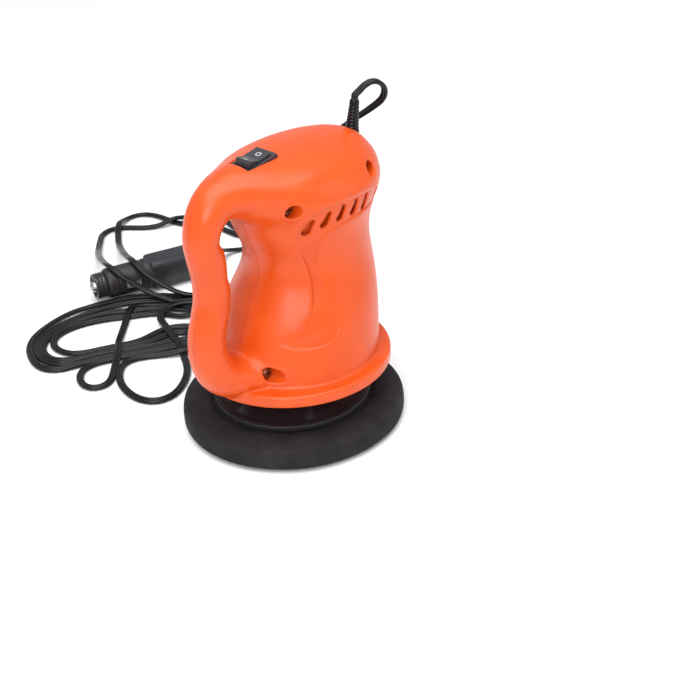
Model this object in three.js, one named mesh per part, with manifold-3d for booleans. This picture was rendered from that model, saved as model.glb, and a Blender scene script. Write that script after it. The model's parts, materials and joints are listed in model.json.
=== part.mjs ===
// Handheld 12 V rotary car polisher, millimetres, +Z up.
// Origin: foot of the motor axis on the face of the foam pad. +X points to the nose, the loop handle is at -X.
// The housing is two injection-moulded shells that meet on the plane Y = 0.
import * as THREE from "three";
import { mergeVertices } from "three/addons/utils/BufferGeometryUtils.js";
import Module from "manifold-3d";

// ---- driving dimensions -------------------------------------------------
const WALL = 2.5; // shell wall
const SPLIT = 0.15; // half of the gap on the parting plane
const ECC = -3; // offset of the pad axis from the motor axis, along X
const PAD_R = 62.5, PAD_T = 14; // foam pad
const PLATE_R = 44, PLATE_Z = 14.3; // backing plate
const FLANGE_R = 54.4, FLANGE_Z0 = 34, FLANGE_Z1 = 41;
const DECK_Z0 = 36.5, DECK_Z1 = 39, DECK_HOLE_R = 25;
const MOTOR_R = 18, MOTOR_Z0 = 56.1, MOTOR_Z1 = 105;
const SHAFT_R = 1.6;
const TOP_Z = 159.6; // highest point of the head
const SWITCH = { x: -17.05, z: 157.3, tilt: 8.9 }; // centre of the bezel underside
const BEZEL = [21, 15, 2], CUTOUT = [19.2, 12.9];
const CORD_R = 1.4; // round stand-in of the 4.2 x 2.5 twin flex
const PLUG_TIP = [7.4, 196.7, 11], PLUG_DIR_DEG = -19.4;
// horizontal sections of the body: height, rear x, front x, half width
const SECTIONS = [
  [41, -44.8, 48.6, 46.7], [55, -40.3, 51.2, 43.8], [72, -33.2, 53.1, 40.6], [90, -22.6, 53.7, 34.7],
  [99, -20.3, 53.1, 33.1], [108, -21.6, 53, 33], [118, -25.8, 55.2, 34.6], [128, -28.6, 59, 37.6],
  [136, -33.2, 62.2, 38.6], [144, -37.1, 61.4, 36.2], [151, -36.3, 56.5, 31], [156, -24.8, 48.2, 22.2],
];
// loop handle: x, z, half thickness across the loop, half width in Y
const HANDLE = [
  [-20, 141.5, 14, 17], [-35, 145.2, 12.4, 14], [-45.5, 145, 11.4, 12.2], [-53, 139.5, 10, 11.2],
  [-57, 129, 9.3, 10.7], [-55.8, 117, 9.7, 10.8], [-54.2, 101, 9.3, 10.6], [-56.5, 88, 9.2, 10.6],
  [-61, 72, 9.6, 11], [-59.8, 58, 10.4, 12.4], [-54.5, 48.5, 11.5, 15], [-45, 43, 11.5, 18],
];
const VENTS = [[-8.5, 125.5], [-0.7, 128.6], [8.2, 130.2], [17.4, 130.9], [27.1, 130]];
const SCREWS = { rear: [-17.9, 137.6], front: [36.4, 143.3], base: [-36.6, 47.6] };

const wasm = await Module();
wasm.setup();

// ---- helpers ------------------------------------------------------------
// A three.js geometry as a closed solid; its winding is turned to face out.
function solid(geometry) {
  let g = geometry.clone();
  for (const k of ["normal", "uv"]) if (g.getAttribute(k)) g.deleteAttribute(k);
  g = mergeVertices(g, 1e-4);
  const src = g.index.array, tri = [];
  for (let i = 0; i < src.length; i += 3) {
    const [a, b, c] = [src[i], src[i + 1], src[i + 2]];
    if (a !== b && b !== c && c !== a) tri.push(a, b, c);
  }
  const make = (t) => new wasm.Manifold(new wasm.Mesh({
    numProp: 3, vertProperties: new Float32Array(g.attributes.position.array), triVerts: new Uint32Array(t),
  }));
  const s = make(tri);
  if (s.volume() >= 0) return s;
  for (let i = 0; i < tri.length; i += 3) [tri[i + 1], tri[i + 2]] = [tri[i + 2], tri[i + 1]];
  return make(tri);
}
// A solid back as a geometry with flat normals.
function geometryOf(s) {
  const m = s.getMesh(), n = m.numProp, v = new Float32Array(m.numVert * 3);
  for (let i = 0; i < m.numVert; i++) v.set(m.vertProperties.subarray(i * n, i * n + 3), i * 3);
  const g = new THREE.BufferGeometry().setAttribute("position", new THREE.BufferAttribute(v, 3));
  g.setIndex(new THREE.BufferAttribute(new Uint32Array(m.triVerts), 1));
  const flat = g.toNonIndexed();
  flat.computeVertexNormals();
  return flat;
}
// Closed skin over a list of rings with the same number of points.
function skin(rings) {
  const n = rings[0].length, pos = [], idx = [];
  rings.forEach((r) => r.forEach((p) => pos.push(...p)));
  for (let k = 0; k + 1 < rings.length; k++)
    for (let i = 0; i < n; i++) {
      const a = k * n + i, b = k * n + ((i + 1) % n), c = a + n, d = b + n;
      idx.push(a, b, d, a, d, c);
    }
  const cap = (k, flip) => {
    const mid = [0, 0, 0];
    rings[k].forEach((p) => p.forEach((v, j) => (mid[j] += v / n)));
    const m = pos.length / 3;
    pos.push(...mid);
    for (let i = 0; i < n; i++) {
      const a = k * n + i, b = k * n + ((i + 1) % n);
      flip ? idx.push(m, b, a) : idx.push(m, a, b);
    }
  };
  cap(0, true);
  cap(rings.length - 1, false);
  const g = new THREE.BufferGeometry();
  g.setAttribute("position", new THREE.BufferAttribute(new Float32Array(pos), 3));
  g.setIndex(idx);
  return g;
}
const lathe = (pts, seg = 32) =>
  new THREE.LatheGeometry(pts.map((p) => new THREE.Vector2(p[0], p[1])), seg).rotateX(Math.PI / 2);
const cylZ = (r, z0, z1, seg = 24, x = 0, y = 0) =>
  new THREE.CylinderGeometry(r, r, z1 - z0, seg).rotateX(Math.PI / 2).translate(x, y, (z0 + z1) / 2);
const cylY = (r, y0, y1, x, z, seg = 16) =>
  new THREE.CylinderGeometry(r, r, y1 - y0, seg).translate(x, (y0 + y1) / 2, z);
const box = (x0, x1, y0, y1, z0, z1) =>
  new THREE.BoxGeometry(x1 - x0, y1 - y0, z1 - z0).translate((x0 + x1) / 2, (y0 + y1) / 2, (z0 + z1) / 2);
// Regular section swept along a smooth path.
class Route extends THREE.Curve {
  constructor(points) {
    super();
    this.points = points.map((p) => new THREE.Vector3(...p));
  }
  getPoint(t) {
    const f = t * (this.points.length - 1), i = Math.min(Math.floor(f), this.points.length - 2);
    return this.points[i].clone().lerp(this.points[i + 1], f - i);
  }
  getPointAt(u) {
    return this.getPoint(u);
  }
  getTangentAt(u) {
    const n = this.points.length - 1, i = Math.round(u * n);
    return this.points[Math.min(i + 1, n)].clone().sub(this.points[Math.max(i - 1, 0)]).normalize();
  }
}
// Points at equal steps along a smooth curve through a few.
const spaced = (points, n) => new THREE.CatmullRomCurve3(points.map((p) => new THREE.Vector3(...p)), false, "centripetal").getSpacedPoints(n).map((v) => v.toArray());
// Round tube with one ring at each point of its route.
function tube(points, r, sides = 8) {
  const shape = new THREE.Shape();
  for (let i = 0; i < sides; i++) {
    const a = ((i + 0.5) / sides) * 2 * Math.PI;
    i ? shape.lineTo(r * Math.cos(a), r * Math.sin(a)) : shape.moveTo(r * Math.cos(a), r * Math.sin(a));
  }
  return new THREE.ExtrudeGeometry(shape, { steps: points.length - 1, extrudePath: new Route(points), bevelEnabled: false });
}
// Turns +Z onto a direction and moves the foot to a point.
function aim(g, from, dir) {
  const q = new THREE.Quaternion().setFromUnitVectors(new THREE.Vector3(0, 0, 1), new THREE.Vector3(...dir).normalize());
  return g.applyQuaternion(q).translate(...from);
}

// ---- materials ----------------------------------------------------------
const mat = (color, roughness, metalness = 0) => new THREE.MeshStandardMaterial({ color, roughness, metalness });
const ORANGE = mat(0xff5a1f, 0.38), BLACK = mat(0x15151a, 0.45), SATIN_BLACK = mat(0x1c1c20, 0.6);
const FOAM = mat(0x232326, 0.95), STEEL = mat(0xb8bcc0, 0.35, 1), ZINC = mat(0xc9c9c4, 0.4, 1);
const COPPER = mat(0xb8692e, 0.4, 1), BRASS = mat(0xc9a24a, 0.35, 1), CARBON = mat(0x2a2a2c, 0.7);
const FERRITE = mat(0x3a3a3e, 0.8), NYLON = mat(0xe6e2d6, 0.5), RED = mat(0xb01818, 0.5), PVC = mat(0x101012, 0.5);

const group = new THREE.Group();
const rockerGroup = new THREE.Group(), rotorGroup = new THREE.Group(), padGroup = new THREE.Group();
group.add(rockerGroup, rotorGroup, padGroup);
padGroup.position.set(ECC, 0, 0);
function add(name, s, material, parent = group) {
  const m = new THREE.Mesh(s.getMesh ? geometryOf(s) : s, material);
  m.name = name;
  parent.add(m);
  return m;
}

// ---- housing shells -----------------------------------------------------
const SEG = 24;
function bodyRing(z, xr, xf, b, off) {
  const cx = (xr + xf) / 2, a = (xf - xr) / 2 - off, ring = [];
  for (let i = 0; i < SEG; i++) {
    const t = (i / SEG) * 2 * Math.PI;
    ring.push([cx + a * Math.cos(t), (b - off) * Math.sin(t), z]);
  }
  return ring;
}
function body(off) {
  const rings = [bodyRing(off ? DECK_Z1 : FLANGE_Z0 + 1, -45.5, 47.5, 47, off)];
  for (const [z, xr, xf, b] of SECTIONS) {
    const zz = z - (z > 140 ? ((z - 140) / 20) * off : 0);
    rings.push(bodyRing(zz, xr, xf, b, off));
  }
  const [, xr, xf, b] = SECTIONS[SECTIONS.length - 1];
  for (const k of [0.55, 0.85]) {
    const s = Math.sqrt(1 - k * k), cx = (xr + xf) / 2, a = (xf - xr) / 2;
    rings.push(bodyRing(156 - off * 0.8 + (TOP_Z - 156) * k, cx - a * s - off * (1 - s), cx + a * s + off * (1 - s), b * s + off * (1 - s), off));
  }
  return solid(skin(rings));
}
function handle(off) {
  const rings = [], N = 12;
  HANDLE.forEach(([x, z, a, b], i) => {
    const p = i ? HANDLE[i - 1] : HANDLE[0], q = HANDLE[Math.min(i + 1, HANDLE.length - 1)];
    const d = new THREE.Vector3(q[0] - p[0], 0, q[1] - p[1]).normalize();
    const n = [-d.z, 0, d.x], ring = [];
    for (let k = 0; k < N; k++) {
      const f = (k / N) * 2 * Math.PI;
      const u = (a - off) * Math.cos(f);
      ring.push([x + n[0] * u, (b - off) * Math.sin(f), z + n[2] * u]);
    }
    rings.push(ring);
  });
  return solid(skin(rings));
}
const flange = solid(lathe([
  [0, FLANGE_Z0], [FLANGE_R - 0.8, FLANGE_Z0], [FLANGE_R, FLANGE_Z0 + 0.8], [FLANGE_R, FLANGE_Z1 - 2],
  [FLANGE_R - 0.6, FLANGE_Z1 - 0.6], [FLANGE_R - 2, FLANGE_Z1], [48.5, FLANGE_Z1], [46, FLANGE_Z1 + 2], [0, FLANGE_Z1 + 2],
], 40));
const outer = body(0).add(handle(0)).add(flange).subtract(solid(box(-90, 90, -70, 70, 20, FLANGE_Z0)));
const innerHandle = handle(2.3).subtract(solid(box(-90, 90, -70, 70, 20, DECK_Z1 + 1.5)));
let shell = outer.subtract(body(WALL)).subtract(innerHandle);
// skirt recess under the deck, and the hole that the eccentric hub turns in
shell = shell.subtract(solid(cylZ(51.9, FLANGE_Z0 - 1, DECK_Z0, 36))).subtract(solid(cylZ(DECK_HOLE_R, 30, 45, 24)));
// motor decks: one carries the motor plate, two hold the can
const deck = (z0, z1, r) => outer.intersect(solid(box(-80, 80, -60, 60, z0, z1))).subtract(innerHandle)
  .subtract(solid(cylZ(r, z0 - 1, z1 + 1, 24))).intersect(body(WALL - 0.6));
shell = shell.add(deck(50.6, 53, 20)).add(deck(66, 68, MOTOR_R + 0.5)).add(deck(94, 96, MOTOR_R + 0.5));
shell = shell.subtract(solid(cylZ(MOTOR_R + 0.5, 55.7, 112.5, 24)));
// screw bosses
const bossR = 4.3;
for (const [x, z] of Object.values(SCREWS)) shell = shell.add(solid(cylY(bossR, -40, 40, x, z, 12)).intersect(outer));
// cord gland hole, square to the skin on top of the nose
const GLAND = [56.3, 0, 150], GLAND_DIR = [0.2, 0, 0.98];
for (const [r, s0, s1] of [[4.2, -14, 14], [5.1, -16, -4.1], [6, 1.3, 14]])
  shell = shell.subtract(solid(aim(cylZ(r, s0, s1, 14), GLAND, GLAND_DIR)));
// switch cut-out
const tilt = -THREE.MathUtils.degToRad(SWITCH.tilt);
const atSwitch = (g) => g.rotateY(tilt).translate(SWITCH.x, 0, SWITCH.z);
shell = shell.subtract(solid(atSwitch(box(-CUTOUT[0] / 2, CUTOUT[0] / 2, -CUTOUT[1] / 2, CUTOUT[1] / 2, -9, 12))));
// flat seat that the bezel rests on
shell = shell.subtract(solid(atSwitch(box(-BEZEL[0] / 2 - 0.3, BEZEL[0] / 2 + 0.3, -BEZEL[1] / 2 - 0.3, BEZEL[1] / 2 + 0.3, -0.3, 12))));
// vent slots through both sides
for (const [x, z] of VENTS) {
  const s = new THREE.Shape();
  s.absarc(0, 2.7, 2.1, 0, Math.PI, false);
  s.absarc(0, -2.7, 2.1, Math.PI, 2 * Math.PI, false);
  for (const side of [-1, 1]) {
    const g = new THREE.ExtrudeGeometry(s, { depth: 22, bevelEnabled: false, curveSegments: 3 });
    g.rotateX(Math.PI / 2).rotateY(0.3).translate(x, side > 0 ? 46 : -24, z);
    shell = shell.subtract(solid(g));
  }
}
let right = shell.intersect(solid(box(-100, 100, -80, -SPLIT, 20, 200)));
let left = shell.intersect(solid(box(-100, 100, SPLIT, 80, 20, 200)));
// screw pockets and clearance holes on the right, blind thread holes on the left
const HEADS = { rear: -22, front: -24, base: -16 };
for (const [k, [x, z]] of Object.entries(SCREWS)) {
  right = right.subtract(solid(cylY(3.7, -60, HEADS[k], x, z, 12))).subtract(solid(cylY(1.8, -60, 1, x, z, 8)));
  left = left.subtract(solid(cylY(1.8, -1, 13, x, z, 8)));
}
add("housing_right", right, ORANGE);
add("housing_left", left, ORANGE);
// self-tapping screws with pan heads and a cross slot
for (const [k, [x, z]] of Object.entries(SCREWS)) {
  const y = HEADS[k] - 0.3;
  let s = solid(lathe([[0, 0], [3.2, 0], [3.2, 0.9], [2.4, 2], [0, 2.2]], 10)).add(solid(lathe([[0, -y - 0.3 + 11], [0.9, -y - 0.3 + 10], [1.45, -y - 0.3 + 8], [1.45, -0.1], [0, -0.1]].map(([r, h]) => [r, -h]), 8)));
  s = s.subtract(solid(box(-1.9, 1.9, -0.35, 0.35, 1.1, 3))).subtract(solid(box(-0.35, 0.35, -1.9, 1.9, 1.1, 3)));
  add("housing_screw_" + k, geometryOf(s).rotateX(Math.PI / 2).translate(x, y, z), ZINC);
}

// ---- drive motor --------------------------------------------------------
add("motor_plate", solid(cylZ(30, 53.3, 55.3, 24)).subtract(solid(cylZ(7, 50, 60, 20)))
  .subtract(solid(cylZ(1.8, 50, 60, 10, 0, 12.5))).subtract(solid(cylZ(1.8, 50, 60, 10, 0, -12.5))), STEEL);
const canWall = 1.6;
add("motor_can", solid(lathe([[6.6, MOTOR_Z0], [MOTOR_R - 0.8, MOTOR_Z0], [MOTOR_R, MOTOR_Z0 + 0.8], [MOTOR_R, MOTOR_Z1],
  [MOTOR_R - canWall, MOTOR_Z1], [MOTOR_R - canWall, MOTOR_Z0 + canWall], [6.6, MOTOR_Z0 + canWall], [6.6, MOTOR_Z0]], 20))
  .subtract(solid(cylZ(1.8, 50, 60, 10, 0, 12.5))).subtract(solid(cylZ(1.8, 50, 60, 10, 0, -12.5))), ZINC);
for (const [i, s] of [[1, 1], [2, -1]])
  add("motor_screw_" + i, solid(lathe([[0, 51], [2.7, 51], [2.7, 53], [1.4, 53], [1.4, 59], [0, 59]], 12))
    .subtract(solid(box(-1.9, 1.9, -0.35, 0.35, 50, 51.9))), ZINC).position.set(0, s * 12.5, 0);
add("motor_bushing_front", solid(lathe([[SHAFT_R + 0.3, 54.6], [6.2, 54.6], [6.2, 60.6], [SHAFT_R + 0.3, 60.6], [SHAFT_R + 0.3, 54.6]], 14)), BRASS);
const arc = (r0, r1, a0, a1, z0, z1) => {
  const s = new THREE.Shape();
  s.absarc(0, 0, r1, a0, a1, false);
  s.absarc(0, 0, r0, a1, a0, true);
  return new THREE.ExtrudeGeometry(s, { depth: z1 - z0, bevelEnabled: false, curveSegments: 6 }).translate(0, 0, z0);
};
add("motor_magnet_1", solid(arc(13, 16.1, -1.1, 1.1, 60, 96)), FERRITE);
add("motor_magnet_2", solid(arc(13, 16.1, Math.PI - 1.1, Math.PI + 1.1, 60, 96)), FERRITE);
const END0 = MOTOR_Z1 + 0.3, END1 = END0 + 5.5;
add("motor_end_cap", solid(lathe([[0, END1 + 2.5], [5.2, END1 + 2.5], [5.2, END1], [MOTOR_R - 1.2, END1], [MOTOR_R, END1 - 1.2], [MOTOR_R, END0],
  [4.2, END0], [4.2, END1 + 0.8], [0, END1 + 0.8], [0, END1 + 2.5]].reverse(), 18))
  .subtract(solid(box(-2.6, 2.6, 7.4, 12.6, END0 - 1, END1 + 1))).subtract(solid(box(-2.6, 2.6, -12.6, -7.4, END0 - 1, END1 + 1))), SATIN_BLACK);
add("motor_bushing_rear", solid(lathe([[SHAFT_R + 0.3, 105.6], [3.9, 105.6], [3.9, 111.2], [SHAFT_R + 0.3, 111.2], [SHAFT_R + 0.3, 105.6]], 12)), BRASS);
// brush gear: a carbon block on a terminal that comes out through the end cap
for (const [i, s] of [[1, 1], [2, -1]]) {
  add("motor_brush_" + i, solid(box(-2, 2, s > 0 ? 5.3 : -10, s > 0 ? 10 : -5.3, 99, 102.6)), CARBON);
  add("motor_terminal_" + i, solid(box(-1.8, 1.8, s > 0 ? 10.3 : -11, s > 0 ? 11 : -10.3, 98.5, 117)).add(solid(box(-1.8, 1.8, s > 0 ? 8.5 : -10.6, s > 0 ? 10.6 : -8.5, 102.9, 103.7))), BRASS);
}

// ---- rocker switch ------------------------------------------------------
const cav = solid(atSwitch(box(-8.1, 8.1, -5.6, 5.6, -4.5, 6)));
const bezel = solid(atSwitch(box(-BEZEL[0] / 2, BEZEL[0] / 2, -BEZEL[1] / 2, BEZEL[1] / 2, 0, BEZEL[2])))
  .add(solid(atSwitch(box(-9.3, 9.3, -6.2, 6.2, -8.6, 0.2)))).subtract(cav);
add("switch_body", bezel, BLACK);
for (const [i, x] of [[1, -4.5], [2, 4.5]])
  add("switch_terminal_" + i, solid(atSwitch(box(x - 0.4, x + 0.4, -2.4, 2.4, -12.6, -8.9))), BRASS);
const PIVOT_UP = 0.2; // pivot height over the bezel underside
const REST_TILT = THREE.MathUtils.degToRad(10); // the key throws this far to either side of level
const pivot = new THREE.Vector3(0, 0, PIVOT_UP).applyAxisAngle(new THREE.Vector3(0, 1, 0), tilt).add(new THREE.Vector3(SWITCH.x, 0, SWITCH.z));
rockerGroup.position.copy(pivot);
rockerGroup.rotation.y = tilt;
{
  // key seen from the side: rounded ends centred on the pivot, a shallow V on top, resting with the nose end pressed
  const half = [[7.4, -1], [7.75, 0.8], [7.45, 2.3], [6.7, 4]];
  const side = [...half, [0, 2.5], ...half.map(([x, y]) => [-x, y]).reverse()];
  const c = Math.cos(REST_TILT), n = Math.sin(REST_TILT);
  const s = new THREE.Shape(side.map(([x, y]) => new THREE.Vector2(x * c + y * n, -x * n + y * c)));
  const g = new THREE.ExtrudeGeometry(s, { depth: 10.4, bevelEnabled: false }).rotateX(Math.PI / 2).translate(0, 5.2, 0);
  add("rocker", solid(g).add(solid(cylY(1.6, -5.2, 5.2, 0, -1.2, 10))), BLACK, rockerGroup);
}

// ---- eccentric drive ----------------------------------------------------
add("motor_shaft", solid(cylZ(SHAFT_R, 37.4, 109.9, 12)), STEEL, rotorGroup);
{
  const bore = solid(cylZ(SHAFT_R + 0.3, 50, 115, 12));
  const core = new THREE.Shape();
  const P = 5; // salient poles of the armature stack
  const pts = [];
  for (let i = 0; i < P; i++) {
    const a = (i / P) * 2 * Math.PI, w = (2 * Math.PI) / P;
    for (const [r, f] of [[6.5, -0.3], [10.4, -0.24], [12.2, -0.42], [12.5, 0], [12.2, 0.42], [10.4, 0.24], [6.5, 0.3]])
      pts.push(new THREE.Vector2(r * Math.cos(a + f * w), r * Math.sin(a + f * w)));
  }
  core.setFromPoints(pts);
  add("armature_core", solid(new THREE.ExtrudeGeometry(core, { depth: 26, bevelEnabled: false }).translate(0, 0, 65)).subtract(bore), STEEL, rotorGroup);
  add("armature_winding_lower", solid(lathe([[2.2, 61.2], [8.5, 61.2], [10.2, 63], [10.2, 64.7], [2.2, 64.7], [2.2, 61.2]], 14)), COPPER, rotorGroup);
  add("armature_winding_upper", solid(lathe([[2.2, 91.3], [10.2, 91.3], [10.2, 93], [8.5, 95], [2.2, 95], [2.2, 91.3]], 14)), COPPER, rotorGroup);
  add("commutator", solid(lathe([[2.2, 95.4], [5.4, 95.4], [5.4, 97], [4.8, 97], [4.8, 104], [2.2, 104], [2.2, 95.4]], 14)), COPPER, rotorGroup);
}
// hub pressed on the shaft: stub pin on the pad axis below, counterweight on the far side of the motor axis
{
  const web = new THREE.Shape();
  web.absarc(0, 0, 17, -1.25, 1.25, false);
  web.absarc(0, 0, 8, 1.25, 2 * Math.PI - 1.25, false);
  let hub = solid(new THREE.ExtrudeGeometry(web, { depth: 8, bevelEnabled: false, curveSegments: 8 }).translate(0, 0, 34.5));
  hub = hub.add(solid(cylZ(6.5, 42, 49.5, 20))).add(solid(cylZ(5.6, 28.6, 35, 20, ECC))).add(solid(cylZ(3.8, 20.6, 30, 20, ECC)));
  hub = hub.subtract(solid(cylZ(SHAFT_R + 0.3, 37, 60, 12))).subtract(solid(cylZ(1.8, 19, 29, 10, ECC)))
    .subtract(solid(new THREE.CylinderGeometry(1.8, 1.8, 12, 10).rotateZ(Math.PI / 2).translate(8, 0, 46)));
  add("eccentric_hub", hub, ZINC, rotorGroup);
  add("hub_grub_screw", solid(new THREE.CylinderGeometry(1.5, 1.5, 4.2, 10).rotateZ(Math.PI / 2).translate(4.1, 0, 46)), BLACK, rotorGroup);
}
const BRG0 = 21, BRG1 = 28;
add("bearing_inner_race", solid(lathe([[4.1, BRG0], [5.6, BRG0], [6, BRG0 + 0.4], [6, BRG0 + 2.2], [5.7, BRG0 + 3.5], [6, BRG1 - 2.2], [6, BRG1 - 0.4], [5.6, BRG1], [4.1, BRG1], [4.1, BRG0]], 16)).translate([ECC, 0, 0]), STEEL, rotorGroup);
add("spindle_washer", solid(lathe([[2.2, 19.4], [5.6, 19.4], [5.6, 20.3], [2.2, 20.3], [2.2, 19.4]], 16)).translate([ECC, 0, 0]), ZINC, rotorGroup);
add("spindle_screw", solid(lathe([[0, 17], [3.6, 17], [3.6, 19.1], [1.5, 19.1], [1.5, 28], [0, 28]], 10)).subtract(solid(cylZ(1.3, 16, 18.4, 6))).translate([ECC, 0, 0]), ZINC, rotorGroup);

// ---- pad assembly, turning freely on the bearing ------------------------
add("bearing_outer_race", solid(lathe([[9, BRG0], [10.6, BRG0], [11, BRG0 + 0.4], [11, BRG1 - 0.4], [10.6, BRG1], [9, BRG1], [9, BRG1 - 2.2], [9.3, BRG0 + 3.5], [9, BRG0 + 2.2], [9, BRG0]], 16)), STEEL, padGroup);
{
  // ball ring: seven balls held in a snap-in cage
  let ring = solid(lathe([[7, 23.8], [8, 23.8], [8, 25.2], [7, 25.2], [7, 23.8]], 14));
  for (let i = 0; i < 7; i++) {
    const a = (i / 7) * 2 * Math.PI;
    ring = ring.add(solid(new THREE.SphereGeometry(1.4, 6, 4).translate(7.5 * Math.cos(a), 7.5 * Math.sin(a), 24.5)));
  }
  add("bearing_balls", ring, STEEL, padGroup);
}
add("bearing_circlip", solid(arc(9.4, 11.6, 0.25, 2 * Math.PI - 0.25, 28.5, 29.4)), STEEL, padGroup);
add("backing_plate", solid(lathe([
  [0, PLATE_Z], [PLATE_R - 0.6, PLATE_Z], [PLATE_R, PLATE_Z + 0.6], [PLATE_R, PLATE_Z + 2.2], [PLATE_R - 1, PLATE_Z + 3.2], [39, 18.2], [24, 22.5],
  [17, 25.5], [15.5, 31.5], [12, 31.5], [12, 28.2], [11.3, 28.2], [11.3, 20.8], [8.4, 20.8], [8.4, 16.2], [0, 16.2], [0, PLATE_Z]], 28)), SATIN_BLACK, padGroup);
add("foam_pad", solid(lathe([
  [0, 0], [PAD_R - 2.2, 0], [PAD_R - 0.6, 1], [PAD_R, 3.2], [PAD_R, PAD_T - 3.4], [PAD_R - 0.9, PAD_T - 1.2], [PAD_R - 3, PAD_T], [0, PAD_T], [0, 0]].slice(0, 8), 36)), FOAM, padGroup);

// ---- wiring inside the head --------------------------------------------
add("cord_boot", solid(aim(lathe([[0, -7], [4.6, -7], [4.6, -4.4], [3.8, -4.4], [3.8, 1.6], [5.6, 1.6], [5.6, 3.6], [4.8, 4.6], [3.4, 12], [2.9, 18], [0, 18]], 12), GLAND, GLAND_DIR)), PVC);
add("cord_clamp", solid(box(40, 44.5, -8, 8, 130.2, 132.6)).subtract(solid(cylZ(1.7, 125, 135, 10, 42.25, 5.6))).subtract(solid(cylZ(1.7, 125, 135, 10, 42.25, -5.6))), NYLON);
for (const [i, s] of [[1, 1], [2, -1]])
  add("clamp_screw_" + i, solid(lathe([[0, 120.6], [1.4, 120.6], [1.4, 132.9], [2.7, 132.9], [2.7, 134.6], [0, 134.6]].reverse(), 10)), ZINC).position.set(42.25, s * 5.6, 0);

// two-core lead inside the head, split to the switch and the motor
const LEAD_R = 0.9;
const leads = {
  cord_inner: [[54.6, 0, 142], [53, 0, 138.5], [49, 0, 135.8], [45, 0, 134.9], [42, 0, 134.8], [38, 0, 134.4], [33.5, 0, 133.6]],
  lead_cord_to_switch: [[33.2, -1.3, 133.4], [28, -3, 133.5], [18, -4, 137], [6, -4, 141], [-4, -2.5, 142.5], [-9.4, 0, 143.2]],
  lead_cord_to_motor: [[33.2, 1.3, 133.2], [28, 4, 131], [18, 9, 126], [8, 12.5, 121.5], [2, 12.8, 118.5], [0.3, 12.3, 116.2]],
  lead_switch_to_motor: [[-22.7, -1.6, 140.8], [-25.5, -5, 137], [-24, -11, 131], [-14, -14, 125], [-4, -13.6, 121], [-0.6, -12.3, 116.2]],
};
add("cord_inner", solid(tube(spaced(leads.cord_inner, 8), 1.6)), PVC);
add("lead_cord_to_switch", solid(tube(spaced(leads.lead_cord_to_switch, 9), LEAD_R, 5)), RED);
add("lead_cord_to_motor", solid(tube(spaced(leads.lead_cord_to_motor, 9), LEAD_R, 5)), PVC);
add("lead_switch_to_motor", solid(tube(spaced(leads.lead_switch_to_motor, 9), LEAD_R, 5)), RED);

// ---- flexible cord, as it lies -----------------------------------------
const CORD_OUT = [
  [59.98, 0, 168.03], [60.38, 0, 170], [65.28, -2.3, 174.12], [68.47, -4.06, 175.76], [71.77, -5.7, 175.38], [74.69, -6.68, 173.08], [76.66, -6.65, 169.79], [77.29, -5.51, 165.97], [76.66, -3.43, 162.55],
  [70.45, 8.71, 152.15], [67.28, 18.77, 144.26], [65.44, 25.23, 138.55], [60.87, 36.97, 126.29], [56.54, 46.7, 112.34], [54.98, 52.14, 100.48], [55.26, 55.97, 87.82], [56.49, 59.41, 75.13], [58.46, 62.88, 62.53],
  [62.22, 67.95, 46.09], [66.23, 72.07, 34.21], [71.45, 76.64, 22.95], [80.55, 84.72, 10.32], [85.76, 90.18, 5.97], [96.01, 103.7, 1.93], [105.19, 118.68, 1.35], [113.31, 134.3, 1.35], [120.38, 150.41, 1.55],
  [127.36, 166.3, 4.5], [130.54, 174.48, 4.37], [135.6, 186.68, 4.52], [141.05, 203.15, 1.58], [144.63, 215.81, 1.35], [145.24, 224.35, 1.35], [144.33, 228.45, 1.35], [139.81, 235.49, 1.39], [132.8, 240.31, 2.06],
  [120.56, 244.01, 4.37], [108.73, 248.58, 2.03], [102.18, 254.15, 1.38], [91.48, 267.81, 1.35], [88.29, 270.35, 1.35], [84.62, 271.73, 1.35], [76.73, 270.5, 1.35], [69.59, 265.7, 1.35], [63.31, 259.58, 1.35],
  [52.13, 246.27, 3.01], [44.96, 236.3, 7.94], [38.29, 226.07, 13], [29.51, 211.57, 17.69], [21.61, 196.52, 22.23], [19.67, 188.56, 22.25], [19.94, 184.85, 20.52], [23.17, 178.84, 15.56], [28, 173.82, 10.26],
];
add("cord", solid(tube(CORD_OUT, CORD_R)), PVC);
// from the other end of the hank, back over the plug and round to its boot
const CORD_PLUG = [
  [40.41, 161.12, 8.26], [37.21, 167.91, 12.73], [33.75, 178.01, 20.04], [34.76, 185.81, 22.8], [36.2, 189.77, 22.6], [44.25, 204.77, 18.17], [53.1, 219.29, 13.59], [59.76, 229.65, 8.78], [66.58, 239.81, 3.61],
  [74.03, 250.41, 1.44], [82.1, 260.79, 2.18], [91.17, 270, 4.36], [102.33, 275.97, 2.01], [110.49, 276.04, 1.38], [114.08, 274.32, 1.35], [118.78, 267.8, 1.35], [120.53, 254.96, 1.35], [122.25, 237.7, 1.35],
  [130.47, 222.4, 1.35], [133.31, 214.23, 1.35], [133.78, 201.18, 1.35], [134.84, 188.43, 1.35], [141.74, 177.64, 1.35], [144.17, 170.1, 1.35], [143.16, 166.54, 1.35], [140.66, 163.9, 1.35], [137.21, 162.75, 1.35],
  [133.46, 163.26, 1.35], [119.72, 173.11, 1.55], [112.08, 175.76, 3.04], [108.24, 175.49, 4.48], [101.28, 172.34, 8.33], [97.85, 170.35, 10.07], [94.6, 166.3, 11], [92.3, 166.85, 11], [90.12, 167.57, 11],
];
add("cord_plug_end", solid(tube(CORD_PLUG, CORD_R)), PVC);
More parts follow.
